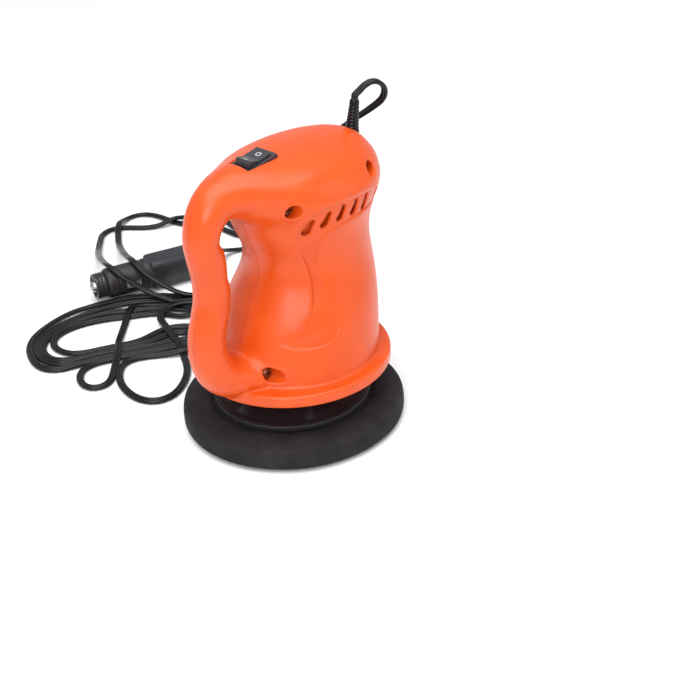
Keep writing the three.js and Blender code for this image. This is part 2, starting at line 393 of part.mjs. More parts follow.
// hank of the remaining length, lying beside the tool, and the two loose loops at its front
const slab = (pts, z0, z1) => solid(new THREE.ExtrudeGeometry(new THREE.Shape(pts.map(([x, y]) => new THREE.Vector2(x, y))), { depth: z1 - z0, bevelEnabled: false }).translate(0, 0, z0));
const HANK = [
  [23, 87.9], [33, 89.4], [43.2, 95.5], [53.1, 111], [56.3, 118.5], [68, 123.9], [71.1, 127], [73.2, 133], [73.1, 137.5], [71.2, 141.5], [67, 144.6], [55.5, 146.4],
  [52.4, 148], [49.4, 151.5], [44.1, 163.5], [35, 175.2], [3.5, 186.6], [2.6, 192], [-0.5, 194.1], [-11, 196.7], [-28, 195.7], [-42, 191.6], [-53.5, 184.7], [-59.6, 178],
  [-67.1, 163], [-68.2, 152], [-64.7, 144], [-56.3, 137], [-52, 129.8], [-44.5, 128.6], [-41, 126.7], [-36.5, 118.4], [-33, 115.4], [-24, 113.6], [-14, 106.9], [-5, 107.1],
  [1.5, 102.4], [14, 99.1], [18, 95.1], [19.8, 90],
];
const LOOPS = [
  [-41, 63.9], [-37, 63.8], [-29.5, 65.9], [-18.9, 72], [-9.3, 81], [0, 94.5], [11, 89.9], [17, 88.4], [18.5, 89], [18.6, 90], [17.1, 95], [14, 98.1],
  [1.5, 101.4], [-5, 106.1], [-14, 105.9], [-24, 112.6], [-32.5, 114.1], [-37.5, 118.4], [-41.5, 126.1], [-45, 127.7], [-51, 128.3], [-55.5, 131.1], [-60, 127.2], [-62.6, 123.5],
  [-64.7, 118], [-64.7, 113], [-63.5, 109.4], [-59, 105.4], [-52, 104.8], [-47, 106.5], [-53.1, 92], [-54.2, 86.5], [-54.2, 77.5], [-50.2, 68.5], [-46.5, 65.6],
];
add("cord_hank", slab(HANK, 0.3, 5.5), PVC);
add("cord_loops", slab(LOOPS, 0.3, 3), PVC);

// ---- 12 V accessory plug ------------------------------------------------
const plug = new THREE.Group();
group.add(plug);
plug.position.set(...PLUG_TIP);
plug.rotation.set(0, 0, THREE.MathUtils.degToRad(PLUG_DIR_DEG));
const along = (pts, seg = 16) => lathe(pts, seg).rotateY(Math.PI / 2);
{
  // barrel, then a flat-sided grip that is parted along its middle
  const grip = new THREE.Shape([[-9.6, -6.4], [-6.4, -9.8], [6.4, -9.8], [9.6, -6.4], [9.6, 6.4], [6.4, 9.8], [-6.4, 9.8], [-9.6, 6.4]].map(([x, y]) => new THREE.Vector2(x, y)));
  let b = solid(along([[0, 10], [8.6, 10], [9.9, 12], [9.9, 42], [0, 42]]));
  b = b.add(solid(new THREE.ExtrudeGeometry(grip, { depth: 36, bevelEnabled: false }).rotateY(Math.PI / 2).translate(41, 0, 0)));
  b = b.add(solid(along([[0, 76], [7.6, 76], [6.6, 80], [0, 80]])));
  b = b.subtract(solid(along([[0, 5], [3.4, 5], [3.4, 36], [0, 36]], 14)));
  for (const s of [1, -1]) b = b.subtract(solid(box(18, 36, s > 0 ? 6.2 : -11, s > 0 ? 11 : -6.2, -2.6, 2.6)));
  add("plug_body", b, SATIN_BLACK, plug);
  add("plug_collar", solid(along([[6.2, 4.2], [7.2, 2.6], [8.4, 2.6], [8.4, 9.7], [4.2, 9.7], [4.2, 5.2], [6.2, 4.2]])), BLACK, plug);
  add("plug_tip", solid(along([[0, 0], [1.6, 0.3], [3.2, 1.6], [3.9, 3.4], [3.9, 8], [3.1, 8], [3.1, 11.5], [0, 11.5]], 16)), STEEL, plug);
  add("plug_fuse", solid(along([[0, 11.9], [3, 11.9], [3, 32], [0, 32]], 14)), ZINC, plug);
  for (const [i, s] of [[1, 1], [2, -1]]) {
    const c = new THREE.Shape([[18.6, 6.6], [19.6, 6.6], [23.5, 10.3], [27, 11.3], [30.5, 10.3], [34.4, 6.6], [35.4, 6.6], [31, 11], [27, 12.2], [23, 11]].map(([x, y]) => new THREE.Vector2(x, s * y)));
    add("plug_contact_" + i, solid(new THREE.ExtrudeGeometry(c, { depth: 4, bevelEnabled: false }).translate(0, 0, -2)), STEEL, plug);
  }
  add("plug_boot", solid(along([[0, 80.3], [4.4, 80.3], [3.6, 84], [2.7, 87.4], [0, 87.4]], 14)), PVC, plug);
}

export default group;
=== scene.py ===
import json, math
import bpy, bmesh
import numpy as np
from mathutils import Vector, Matrix


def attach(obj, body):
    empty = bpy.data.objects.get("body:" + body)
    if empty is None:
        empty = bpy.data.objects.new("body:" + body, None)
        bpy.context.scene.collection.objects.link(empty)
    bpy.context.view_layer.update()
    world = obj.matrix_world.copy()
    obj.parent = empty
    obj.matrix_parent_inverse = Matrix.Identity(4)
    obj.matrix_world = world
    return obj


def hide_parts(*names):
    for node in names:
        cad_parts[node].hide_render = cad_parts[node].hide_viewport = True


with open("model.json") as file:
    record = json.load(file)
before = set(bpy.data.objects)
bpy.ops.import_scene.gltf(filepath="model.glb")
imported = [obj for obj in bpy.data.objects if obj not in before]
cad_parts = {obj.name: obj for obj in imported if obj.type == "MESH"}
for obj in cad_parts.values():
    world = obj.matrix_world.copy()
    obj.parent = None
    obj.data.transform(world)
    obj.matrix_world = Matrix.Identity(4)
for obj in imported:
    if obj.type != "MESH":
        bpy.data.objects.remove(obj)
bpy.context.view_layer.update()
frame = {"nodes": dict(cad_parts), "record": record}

MM = 0.001
D = bpy.data
COL = bpy.context.scene.collection
rng = np.random.default_rng(7)


# ------------------------------------------------------------------ camera
def make_camera():
    cam = D.cameras.new("camera")
    ob = D.objects.new("camera", cam)
    COL.objects.link(ob)
    az, pitch, roll = math.radians(-45.32), math.radians(30.2), math.radians(-3.41)
    u = Vector((math.cos(az), math.sin(az), 0))
    w = Vector((-math.sin(az), math.cos(az), 0))
    fw = w * math.cos(pitch) - Vector((0, 0, math.sin(pitch)))
    up = w * math.sin(pitch) + Vector((0, 0, math.cos(pitch)))
    # rolled picture axes
    right = u * math.cos(roll) + up * math.sin(roll)
    upr = up * math.cos(roll) - u * math.sin(roll)
    m = Matrix((right, upr, -fw)).transposed().to_4x4()
    m.translation = Vector((-0.49276, -0.53172, 0.45792))
    ob.matrix_world = m
    cam.sensor_width = 36
    cam.lens = 1500 / 700 * 36
    cam.clip_start, cam.clip_end = 0.01, 20
    cam.dof.use_dof = False
    bpy.context.scene.camera = ob
    return ob


camera = make_camera()


# ------------------------------------------------------------- mesh helpers
def mesh_object(name, verts, faces, material=None, smooth=True, scale=MM):
    me = D.meshes.new(name)
    v = np.asarray(verts, float) * scale
    if isinstance(faces, np.ndarray) and faces.ndim == 2:
        n, k = faces.shape
        me.vertices.add(len(v)); me.vertices.foreach_set("co", v.astype(np.float32).ravel())
        me.loops.add(n * k); me.loops.foreach_set("vertex_index", faces.astype(np.int32).ravel())
        me.polygons.add(n); me.polygons.foreach_set("loop_start", np.arange(0, n * k, k, dtype=np.int32))
        me.polygons.foreach_set("loop_total", np.full(n, k, np.int32))
        me.update(calc_edges=True)
    else:
        me.from_pydata([tuple(p) for p in v], [], [tuple(f) for f in faces])
    me.validate()
    me.shade_smooth() if smooth else None
    ob = D.objects.new(name, me)
    COL.objects.link(ob)
    if material is not None:
        me.materials.append(material)
    return ob


def catmull(pts, n_per=12, closed=False):
    """Centripetal Catmull-Rom through the points, resampled finely."""
    P = np.asarray(pts, float)
    if closed:
        P = np.vstack([P[-1], P, P[0], P[1]])
    else:
        P = np.vstack([2 * P[0] - P[1], P, 2 * P[-1] - P[-2]])
    out = []
    for i in range(1, len(P) - 2):
        p0, p1, p2, p3 = P[i - 1:i + 3]
        t0 = 0.0
        t1 = t0 + max(np.linalg.norm(p1 - p0), 1e-9) ** 0.5
        t2 = t1 + max(np.linalg.norm(p2 - p1), 1e-9) ** 0.5
        t3 = t2 + max(np.linalg.norm(p3 - p2), 1e-9) ** 0.5
        t = np.linspace(t1, t2, n_per, endpoint=False)[:, None]
        A1 = (t1 - t) / (t1 - t0) * p0 + (t - t0) / (t1 - t0) * p1
        A2 = (t2 - t) / (t2 - t1) * p1 + (t - t1) / (t2 - t1) * p2
        A3 = (t3 - t) / (t3 - t2) * p2 + (t - t2) / (t3 - t2) * p3
        B1 = (t2 - t) / (t2 - t0) * A1 + (t - t0) / (t2 - t0) * A2
        B2 = (t3 - t) / (t3 - t1) * A2 + (t - t1) / (t3 - t1) * A3
        out.append((t2 - t) / (t2 - t1) * B1 + (t - t1) / (t2 - t1) * B2)
    return np.vstack(out + [P[-2][None]])


def resample(P, step=None, n=None):
    s = np.concatenate([[0], np.cumsum(np.linalg.norm(np.diff(P, axis=0), axis=1))])
    n = n or max(2, int(round(s[-1] / step)) + 1)
    t = np.linspace(0, s[-1], n)
    return np.stack([np.interp(t, s, P[:, k]) for k in range(P.shape[1])], 1)


def pchip(x, y, q):
    """Monotone cubic interpolation, linear outside the table."""
    x, y = np.asarray(x, float), np.asarray(y, float)
    h = np.diff(x); d = np.diff(y) / h
    m = np.zeros_like(y)
    for i in range(1, len(x) - 1):
        if d[i - 1] * d[i] > 0:
            w1, w2 = 2 * h[i] + h[i - 1], h[i] + 2 * h[i - 1]
            m[i] = (w1 + w2) / (w1 / d[i - 1] + w2 / d[i])
    m[0], m[-1] = d[0], d[-1]
    q = np.asarray(q, float)
    i = np.clip(np.searchsorted(x, q) - 1, 0, len(h) - 1)
    t = (q - x[i]) / h[i]
    tc = np.clip(t, 0, 1)
    h00 = 2 * tc**3 - 3 * tc**2 + 1; h10 = tc**3 - 2 * tc**2 + tc
    h01 = -2 * tc**3 + 3 * tc**2; h11 = tc**3 - tc**2
    r = h00 * y[i] + h10 * h[i] * m[i] + h01 * y[i + 1] + h11 * h[i] * m[i + 1]
    r = np.where(t < 0, y[0] + m[0] * (q - x[0]), r)
    return np.where(t > 1, y[-1] + m[-1] * (q - x[-1]), r)


def spline(x, y, q):
    """Natural cubic spline."""
    x, y = np.asarray(x, float), np.asarray(y, float)
    n = len(x); h = np.diff(x)
    A = np.zeros((n, n)); b = np.zeros(n)
    A[0, 0] = A[-1, -1] = 1
    for i in range(1, n - 1):
        A[i, i - 1], A[i, i], A[i, i + 1] = h[i - 1], 2 * (h[i - 1] + h[i]), h[i]
        b[i] = 6 * ((y[i + 1] - y[i]) / h[i] - (y[i] - y[i - 1]) / h[i - 1])
    M = np.linalg.solve(A, b)
    q = np.asarray(q, float)
    i = np.clip(np.searchsorted(x, q) - 1, 0, n - 2)
    a, c = x[i + 1] - q, q - x[i]
    return (M[i] * a**3 + M[i + 1] * c**3) / (6 * h[i]) + (y[i] / h[i] - M[i] * h[i] / 6) * a + (y[i + 1] / h[i] - M[i + 1] * h[i] / 6) * c


def smin(a, b, k):
    h = np.maximum(k - np.abs(a - b), 0) / k
    return np.minimum(a, b) - h * h * k * 0.25


def smax(a, b, k):
    return -smin(-a, -b, k)


def sstep(a, b, x):
    t = np.clip((x - a) / (b - a), 0, 1)
    return t * t * (3 - 2 * t)


# --------------------------------------------------- housing, as a distance field
# Horizontal sections of the moulded body, mm: height, rear x, front x, half width.
SEC = np.array([
    [41, -44.8, 48.6, 46.7], [55, -40.3, 51.2, 43.8], [75, -31.5, 53.3, 39.8], [92, -21.8, 53.6, 34.2],
    [106, -21.0, 52.9, 32.9], [118, -25.8, 55.2, 34.6], [128, -28.6, 59.0, 37.6], [137, -33.9, 62.4, 38.6],
    [145, -37.4, 61.0, 35.7], [151, -36.5, 56.5, 31.2], [156, -24.8, 48.2, 22.2]])
TOP = 159.6
# Loop handle, mm: centre x, centre z, outer and inner half thickness, half width in Y.
HND = np.array([
    [-16, 141.0, 14.5, 13.0, 18.0], [-26, 144.5, 13.6, 12.0, 16.5], [-36, 146.6, 12.3, 11.6, 14.2],
    [-45.5, 145.6, 11.0, 11.0, 12.2], [-52.5, 140.0, 9.8, 9.8, 11.2], [-56.3, 132.0, 9.0, 8.2, 10.7],
    [-57.2, 125.5, 8.6, 8.4, 10.6], [-56.0, 118.5, 8.9, 10.2, 10.8], [-54.8, 111.0, 8.8, 9.2, 10.8],
    [-54.4, 106.0, 8.6, 8.4, 10.6], [-54.3, 100.5, 8.6, 9.8, 10.6], [-54.9, 93.0, 8.6, 9.4, 10.6],
    [-57.6, 84.0, 8.6, 9.2, 10.6], [-60.2, 76.0, 8.8, 9.2, 10.8], [-61.2, 68.0, 9.2, 9.6, 11.2],
    [-60.0, 60.0, 9.8, 10.4, 12.2], [-56.6, 52.0, 10.6, 11.2, 14.0], [-51.0, 46.5, 11.2, 11.5, 16.5], [-42.0, 44.0, 10.0, 11.0, 19.0]])
SCREWS = {"rear": (-17.9, 137.6), "front": (36.4, 143.3), "base": (-36.6, 47.6)}
POCKET = {"rear": -22.0, "front": -24.0, "base": -16.0}
VENTS = [(-8.7, 126.0), (-0.3, 128.7), (8.6, 130.0), (17.8, 130.3), (26.9, 129.8)]
UPPER = [(42, 131.5), (30, 135.6), (16.4, 137.0), (5, 137.4), (-2.5, 136.6), (-8.6, 133.8), (-12.8, 128.6), (-14.0, 121), (-12.6, 113.6),
         (-9.3, 106.5), (-7.6, 100.2), (-7.4, 92.4), (-10.0, 84.2), (-14.5, 76.5), (-18.9, 72.6)]
LOWER = [(44, 122.6), (30, 123.6), (16.6, 122.8), (6, 121.9), (1.6, 120.6), (-1.2, 116.7), (-2.8, 111.1), (-3.3, 104.2), (-3.4, 96.1), (-3.0, 87.0),
         (-2.0, 78.9), (-1.2, 71.8), (-2.4, 66.0), (-6.1, 62.0), (-12.1, 60.1), (-19.5, 59.9), (-26.0, 61.0), (-30.0, 63.4), (-31.8, 66.0)]


def seg_distance(px, pz, line, closed=False):
    """Distance from every point to a polyline, and the share of the line's length at the nearest point."""
    L = np.asarray(line, float)
    if closed:
        L = np.vstack([L, L[:1]])
    best = np.full(px.shape, 1e9); at = np.zeros(px.shape)
    s = np.concatenate([[0], np.cumsum(np.hypot(*np.diff(L, axis=0).T))])
    for i in range(len(L) - 1):
        a, b = L[i], L[i + 1]
        ab = b - a; l2 = (ab**2).sum()
        if l2 < 1e-12:
            continue
        t = np.clip(((px - a[0]) * ab[0] + (pz - a[1]) * ab[1]) / l2, 0, 1)
        d = np.hypot(px - a[0] - t * ab[0], pz - a[1] - t * ab[1])
        m = d < best
        best = np.where(m, d, best); at = np.where(m, s[i] + t * math.sqrt(l2), at)
    return best, at / s[-1]


def inside_poly(px, pz, poly):
    P = np.asarray(poly, float); ins = np.zeros(px.shape, bool)
    j = len(P) - 1
    for i in range(len(P)):
        xi, zi, xj, zj = P[i, 0], P[i, 1], P[j, 0], P[j, 1]
        if zi != zj:
            c = ((zi > pz) != (zj > pz)) & (px < (xj - xi) * (pz - zi) / (zj - zi) + xi)
            ins ^= c
        j = i
    return ins


def relief_maps(gx, gz):
    """Depth of the sunk swoosh on the side of the body, as a picture over x and z: the vent band that narrows to a neck and opens into a drop."""
    px, pz = np.meshgrid(gx, gz, indexing="ij")
    up = catmull(UPPER, 6); lo = catmull(LOWER, 6)
    poly = np.vstack([up, lo[::-1]])
    ins = inside_poly(px, pz, poly)
    d_up, t_up = seg_distance(px, pz, up)
    d_lo, t_lo = seg_distance(px, pz, lo)
    soft_up = 1.0 + 8.5 * sstep(0.86, 1.0, t_up)
    mouth, _ = seg_distance(px, pz, [UPPER[-1], LOWER[-1]])
    e = np.minimum(d_up, d_lo)
    depth = np.where(ins, sstep(0, 1, np.minimum(d_up / soft_up, 1)) * sstep(0, 1.2, np.minimum(d_lo, 1.2)), 0.0)
    depth = depth * sstep(0.0, 10.0, np.where(ins, mouth, 0))
    # the scoop is deepest beside the crease, and the skin rises on its other side
    d_cr, t_cr = seg_distance(px, pz, catmull(UPPER[8:], 8))
    side = sstep(-1.1, 1.1, np.where(ins, d_cr, -d_cr))
    scoop = side * np.exp(-(d_cr / 4.5) ** 2) * sstep(0.0, 0.25, t_cr) * (1 - sstep(0.85, 1.0, t_cr))
    lip = (1 - side) * np.exp(-(d_cr / 3.0) ** 2) * sstep(0.05, 0.35, t_cr) * (1 - sstep(0.80, 1.0, t_cr))
    lip = lip * (px < -6)
    return 1.05 * depth + 0.75 * scoop - 0.45 * lip


def housing_field(gx, gy, gz, right):
    """Distance to the skin of one moulded half on a grid, mm, negative in the plastic. y is at most about 0."""
    X = gx[:, None, None]; Y = gy[None, :, None]; Z = gz[None, None, :]
    z = gz
    xr, xf, b = (spline(SEC[:, 0], SEC[:, i], np.clip(z, 36, 156)) for i in (1, 2, 3))
    cx, a = (xr + xf) / 2, (xf - xr) / 2
    a0, b0 = np.interp(137, z, a), np.interp(137, z, b)
    zt = [120, 137, 145, 151, 156, TOP, 168]
    S = np.where(z > 137, pchip(zt, [1, 1, 0.856, 0.653, 0.331, 0, -0.95], z), 1.0)
    g = np.where(z > 137, pchip(zt, [1, 1, 0.825, 0.70, 0.575, 0.45, 0.3], z), 1.0)
    al = np.where(z > 137, g / a0**2, 1 / a**2); be = np.where(z > 137, 1 / b0**2, 1 / b**2)
    cx = np.where(z > 156, np.interp(156, z, cx), cx)
    dal, dbe, dS, dcx = (np.gradient(v, z) for v in (al, be, S, cx))
    dx = X - cx
    W = al * dx**2 + be * Y**2 - S
    G = np.sqrt((2 * al * dx)**2 + (2 * be * Y)**2 + (dal * dx**2 - 2 * al * dx * dcx + dbe * Y**2 - dS)**2 + 1e-6)
    body = np.maximum(W / G, -12.0)
    # loop handle
    st = catmull(HND, 14)
    c2 = st[:, :2]; tan = np.gradient(c2, axis=0); tan /= np.linalg.norm(tan, axis=1)[:, None]
    px, pz = np.meshgrid(gx, gz, indexing="ij")
    dist = np.full(px.shape, 1e9); idx = np.zeros(px.shape, int)
    for i in range(len(c2)):
        d = (px - c2[i, 0])**2 + (pz - c2[i, 1])**2
        m = d < dist
        dist = np.where(m, d, dist); idx = np.where(m, i, idx)
    rx, rz = px - c2[idx, 0], pz - c2[idx, 1]
    tx, tz = tan[idx, 0], tan[idx, 1]
    u = rx * tz - rz * tx  # positive on the inner side of the loop
    along = np.abs(rx * tx + rz * tz)
    end = (idx == 0) | (idx == len(c2) - 1)
    w = sstep(-2.5, 2.5, u)
    ah = (st[idx, 3] * (1 - w) + st[idx, 2] * w)[:, None, :]
    bh = st[idx, 4][:, None, :]
    U = u[:, None, :]
    q = np.sqrt((U / ah)**2 + (Y / bh)**2) + 1e-6
    hd = (q - 1) * q / np.sqrt((U / ah**2)**2 + (Y / bh**2)**2 + 1e-9)
    hd = np.maximum(hd, -9.0)
    hd = np.where(end[:, None, :], np.sqrt(np.maximum(hd, 0)**2 + along[:, None, :]**2) + np.minimum(hd, 0), hd)
    # flange
    R = np.sqrt(X**2 + Y**2)
    rr = 1.5
    qx, qz = R - (54.4 - rr), np.abs(Z - 37.5) - (3.5 - rr)
    fl = np.minimum(np.maximum(qx, qz), 0) + np.sqrt(np.maximum(qx, 0)**2 + np.maximum(qz, 0)**2) - rr
    k_h = (6.0 + 5.0 * sstep(120, 140, pz))[:, None, :]
    skin = smin(body, hd, np.broadcast_to(k_h, body.shape))
    relief = relief_maps(gx, gz)[:, None, :]
    facing = sstep(-8, -16, Y)
    bare = skin
    skin = skin + relief * facing
    skin = smin(skin, fl, 1.5)
    skin = smax(skin, 34.0 - Z, 0.8)
    # switch seat, tilted with the top of the head
    t = math.radians(8.9)
    sx, sz = X + 17.05, Z - 157.3
    lx = sx * math.cos(t) + sz * math.sin(t); lz = -sx * math.sin(t) + sz * math.cos(t)
    seat = np.maximum(np.maximum(np.abs(lx) - 10.75, np.abs(Y) - 7.75), -0.25 - lz)
    skin = smax(skin, -seat, 0.5)
    # hollow
    inner = smax(bare + 3.4, 39.0 - Z, 1.0)
    solid = smax(skin, -inner, 0.4)
    solid = smax(solid, -np.maximum(R - 51.9, Z - 36.5), 0.4)
    solid = smax(solid, -np.maximum(R - 25.0, Z - 45.0), 0.4)
    hole = np.maximum(np.maximum(np.abs(lx) - 9.7, np.abs(Y) - 6.55), -12 - lz)
    solid = smax(solid, -hole, 0.3)
    # bosses
    for name, (sxx, szz) in SCREWS.items():
        r = np.hypot(X - sxx, Z - szz)
        if right:
            boss = np.maximum(smax(r - 5.2, skin, 0.5), -1e3)
            solid = smin(solid, boss, 0.8)
            edge = 0.5
            pocket = np.maximum(r - 3.75, Y - POCKET[name])
            solid = smax(solid, -pocket, edge)
            solid = smax(solid, -(r - 1.8), 0.2)
        else:
            boss = smax(r - 4.3, skin, 0.5)
            solid = smin(solid, boss, 0.8)
            solid = smax(solid, -np.maximum(r - 1.8, -13 - Y), 0.2)
    # a baffle box behind the vents, so that nothing inside is seen through them
    vd = seg_distance(px, pz, VENTS)[0][:, None, :]
    plate_ = np.maximum(np.maximum(np.abs(bare + 5.6) - 0.8, vd - 7.6), Y + 12.0)
    rim_ = np.maximum(np.maximum(np.abs(bare + 4.4) - 2.0, np.abs(vd - 6.9) - 0.7), Y + 12.0)
    solid = smin(solid, np.minimum(plate_, rim_), 0.5)
    # vent slots: a leaning drop, wider at the foot
    for vx, vz in VENTS:
        lean = 0.30
        ux, uz = (X - vx) * math.cos(lean) - (Z - vz) * math.sin(lean), (X - vx) * math.sin(lean) + (Z - vz) * math.cos(lean)
        h = np.clip((uz + 3.0) / 6.0, 0, 1)
        d = np.sqrt(ux**2 + (uz - (h * 6.0 - 3.0))**2) - (2.2 - 0.75 * h)
        d = np.maximum(np.maximum(d, Y + 16.0), -4.3 - bare)
        solid = smax(solid, -d, 0.7)
    # gland hole, square to the skin on top of the nose
    ex, ez, dxn, dzn = 56.3, 150.0, 0.2, 0.98
    s_ = (X - ex) * dxn + (Z - ez) * dzn
    rg = np.sqrt(np.maximum((X - ex)**2 + Y**2 + (Z - ez)**2 - s_**2, 0))
    gl = np.minimum(np.maximum(rg - 4.3, np.abs(s_) - 12), np.minimum(np.maximum(rg - 5.2, s_ + 4.1), np.maximum(rg - 6.0, 1.3 - s_)))
    gl = np.maximum(gl, np.abs(s_) - 15)
    solid = smax(solid, -gl, 0.3)
    return solid, skin


def surface_nets(F, gx, gy, gz):
    """Quads round the zero level of F on a regular grid, with the vertices in the middle of their cell's crossings."""
    S = F < 0
    c = S[:-1, :-1, :-1]
    mixed = np.zeros(c.shape, bool)
    n = np.zeros(c.shape, np.int8)
    for i in (0, 1):
        for j in (0, 1):
            for k in (0, 1):
                n += S[i:S.shape[0] - 1 + i, j:S.shape[1] - 1 + j, k:S.shape[2] - 1 + k]
    cells = np.argwhere((n > 0) & (n < 8))
    vid = -np.ones(c.shape, np.int64); vid[tuple(cells.T)] = np.arange(len(cells))
    acc = np.zeros((len(cells), 3)); cnt = np.zeros(len(cells))
    corner = [(i, j, k) for i in (0, 1) for j in (0, 1) for k in (0, 1)]
    val = {q: F[cells[:, 0] + q[0], cells[:, 1] + q[1], cells[:, 2] + q[2]] for q in corner}
    for p in corner:
        for ax in range(3):
            if p[ax] == 0:
                q = list(p); q[ax] = 1; q = tuple(q)
                a, b = val[p], val[q]
                m = (a < 0) != (b < 0)
                t = np.where(m, a / np.where(m, a - b, 1), 0)
                off = np.tile(np.array(p, float), (len(cells), 1)); off[:, ax] += t
                acc += off * m[:, None]; cnt += m
    v = cells + acc / cnt[:, None]
    quads = []
    for ax in range(3):
        sh = [slice(None)] * 3; sh2 = [slice(None)] * 3
        sh[ax] = slice(0, -1); sh2[ax] = slice(1, None)
        a, b = S[tuple(sh)], S[tuple(sh2)]
        e = np.argwhere(a != b)
        o1, o2 = [x for x in range(3) if x != ax]
        ok = (e[:, o1] > 0) & (e[:, o2] > 0) & (e[:, o1] < F.shape[o1] - 1) & (e[:, o2] < F.shape[o2] - 1)
        e = e[ok]
        flip = a[tuple(e.T)]
        def at(d1, d2):
            q = e.copy(); q[:, o1] -= d1; q[:, o2] -= d2
            return vid[tuple(q.T)]
        quad = np.stack([at(0, 0), at(1, 0), at(1, 1), at(0, 1)], 1)
        if ax == 1:
            flip = ~flip
        quads.append(np.where(flip[:, None], quad, quad[:, ::-1]))
    step = np.array([gx[1] - gx[0], gy[1] - gy[0], gz[1] - gz[0]])
    return v, np.vstack(quads), np.array([gx[0], gy[0], gz[0]]), step


def trilinear(F, p):
    i = np.clip(np.floor(p).astype(int), 0, np.array(F.shape) - 2); f = p - i
    r = 0
    for a in (0, 1):
        for b in (0, 1):
            for c in (0, 1):
                w = (f[:, 0] if a else 1 - f[:, 0]) * (f[:, 1] if b else 1 - f[:, 1]) * (f[:, 2] if c else 1 - f[:, 2])
                r = r + w * F[i[:, 0] + a, i[:, 1] + b, i[:, 2] + c]
    return r


def relax(v, quads, F, rounds=3):
    """Evens the vertices out along the surface and pulls them back onto it."""
    n = len(v)
    e = np.vstack([quads[:, [0, 1]], quads[:, [1, 2]], quads[:, [2, 3]], quads[:, [3, 0]]])
    e = np.unique(np.sort(e, axis=1), axis=0)
    deg = np.bincount(e.ravel(), minlength=n)[:, None]
    for _ in range(rounds):
        s = np.stack([np.bincount(e[:, 0], v[e[:, 1], k], n) + np.bincount(e[:, 1], v[e[:, 0], k], n) for k in range(3)], 1)
        v = v + 0.5 * (s / np.maximum(deg, 1) - v)
        for _ in range(2):
            h = 0.5
            f = trilinear(F, v)
            g = np.stack([trilinear(F, v + h * np.eye(3)[k]) - trilinear(F, v - h * np.eye(3)[k]) for k in range(3)], 1) / (2 * h)
            g2 = np.maximum((g**2).sum(1), 1e-3)
            step = np.clip(f / g2, -0.4, 0.4)
            v = v - step[:, None] * g
    return v


def housing_half(name, right, h):
    gx = np.arange(-74.5, 66.5, h); gz = np.arange(32.5, 162.5, h); gy = np.arange(-57.5, 3.0, h)
    F, skin = housing_field(gx, gy, gz, right)
    F = F.astype(np.float64)
    v, q, o, st = surface_nets(F, gx, gy, gz)
    v = relax(v, q, F)
    v = v * st + o
    if not right:
        v[:, 1] *= -1; q = q[:, ::-1]
    ob = mesh_object(name, v, q)
    bm = bmesh.new(); bm.from_mesh(ob.data)
    side = -1 if right else 1
    for d, clear in ((0.45, False), (0.1, True)):
        r = bmesh.ops.bisect_plane(bm, geom=bm.verts[:] + bm.edges[:] + bm.faces[:], dist=1e-6,
                                   plane_co=(0, side * d * MM, 0), plane_no=(0, -side, 0), clear_outer=clear)
    cut = [e for e in bm.edges if e.is_boundary]
    rim = {v_ for e in cut for v_ in e.verts}
    bmesh.ops.recalc_face_normals(bm, faces=bm.faces[:])
    # a fine break on the parting edge
    for v_ in rim:
        nv = v_.normal.copy(); nv.y = 0
        if nv.length > 1e-6:
            v_.co -= nv.normalized() * 0.22 * MM
    bmesh.ops.triangle_fill(bm, use_beauty=True, use_dissolve=False, edges=cut, normal=(0, side, 0))
    bmesh.ops.recalc_face_normals(bm, faces=bm.faces[:])
    bm.normal_update()
    bm.to_mesh(ob.data); bm.free()
    # the hidden inside needs fewer faces than the skin
    co = np.empty(len(ob.data.vertices) * 3)
    ob.data.vertices.foreach_get("co", co)
    co = co.reshape(-1, 3) / MM
    co[:, 1] *= 1 if right else -1
    depth = trilinear(skin, (co - o) / st)
    deep = ob.vertex_groups.new(name="inside")
    deep.add([int(i) for i in np.nonzero((depth < -2.6) & (co[:, 1] < -1.5))[0]], 1.0, "REPLACE")
    tris = sum(len(f.vertices) - 2 for f in ob.data.polygons)
    md = ob.modifiers.new("fewer", "DECIMATE")
    md.ratio = min(1.0, 172000 / tris)
    md.vertex_group = "inside"
    dg = bpy.context.evaluated_depsgraph_get()
    me = D.meshes.new_from_object(ob.evaluated_get(dg), depsgraph=dg)
    ob.modifiers.clear()
    ob.data = me
    ob.vertex_groups.clear()
    ob.data.shade_smooth()
    return ob


# ---------------------------------------------------------------- materials
def node(nt, kind, **inputs):
    n = nt.nodes.new(kind)
    for k, v in inputs.items():
        if k in n.inputs:
            n.inputs[k].default_value = v
    return n


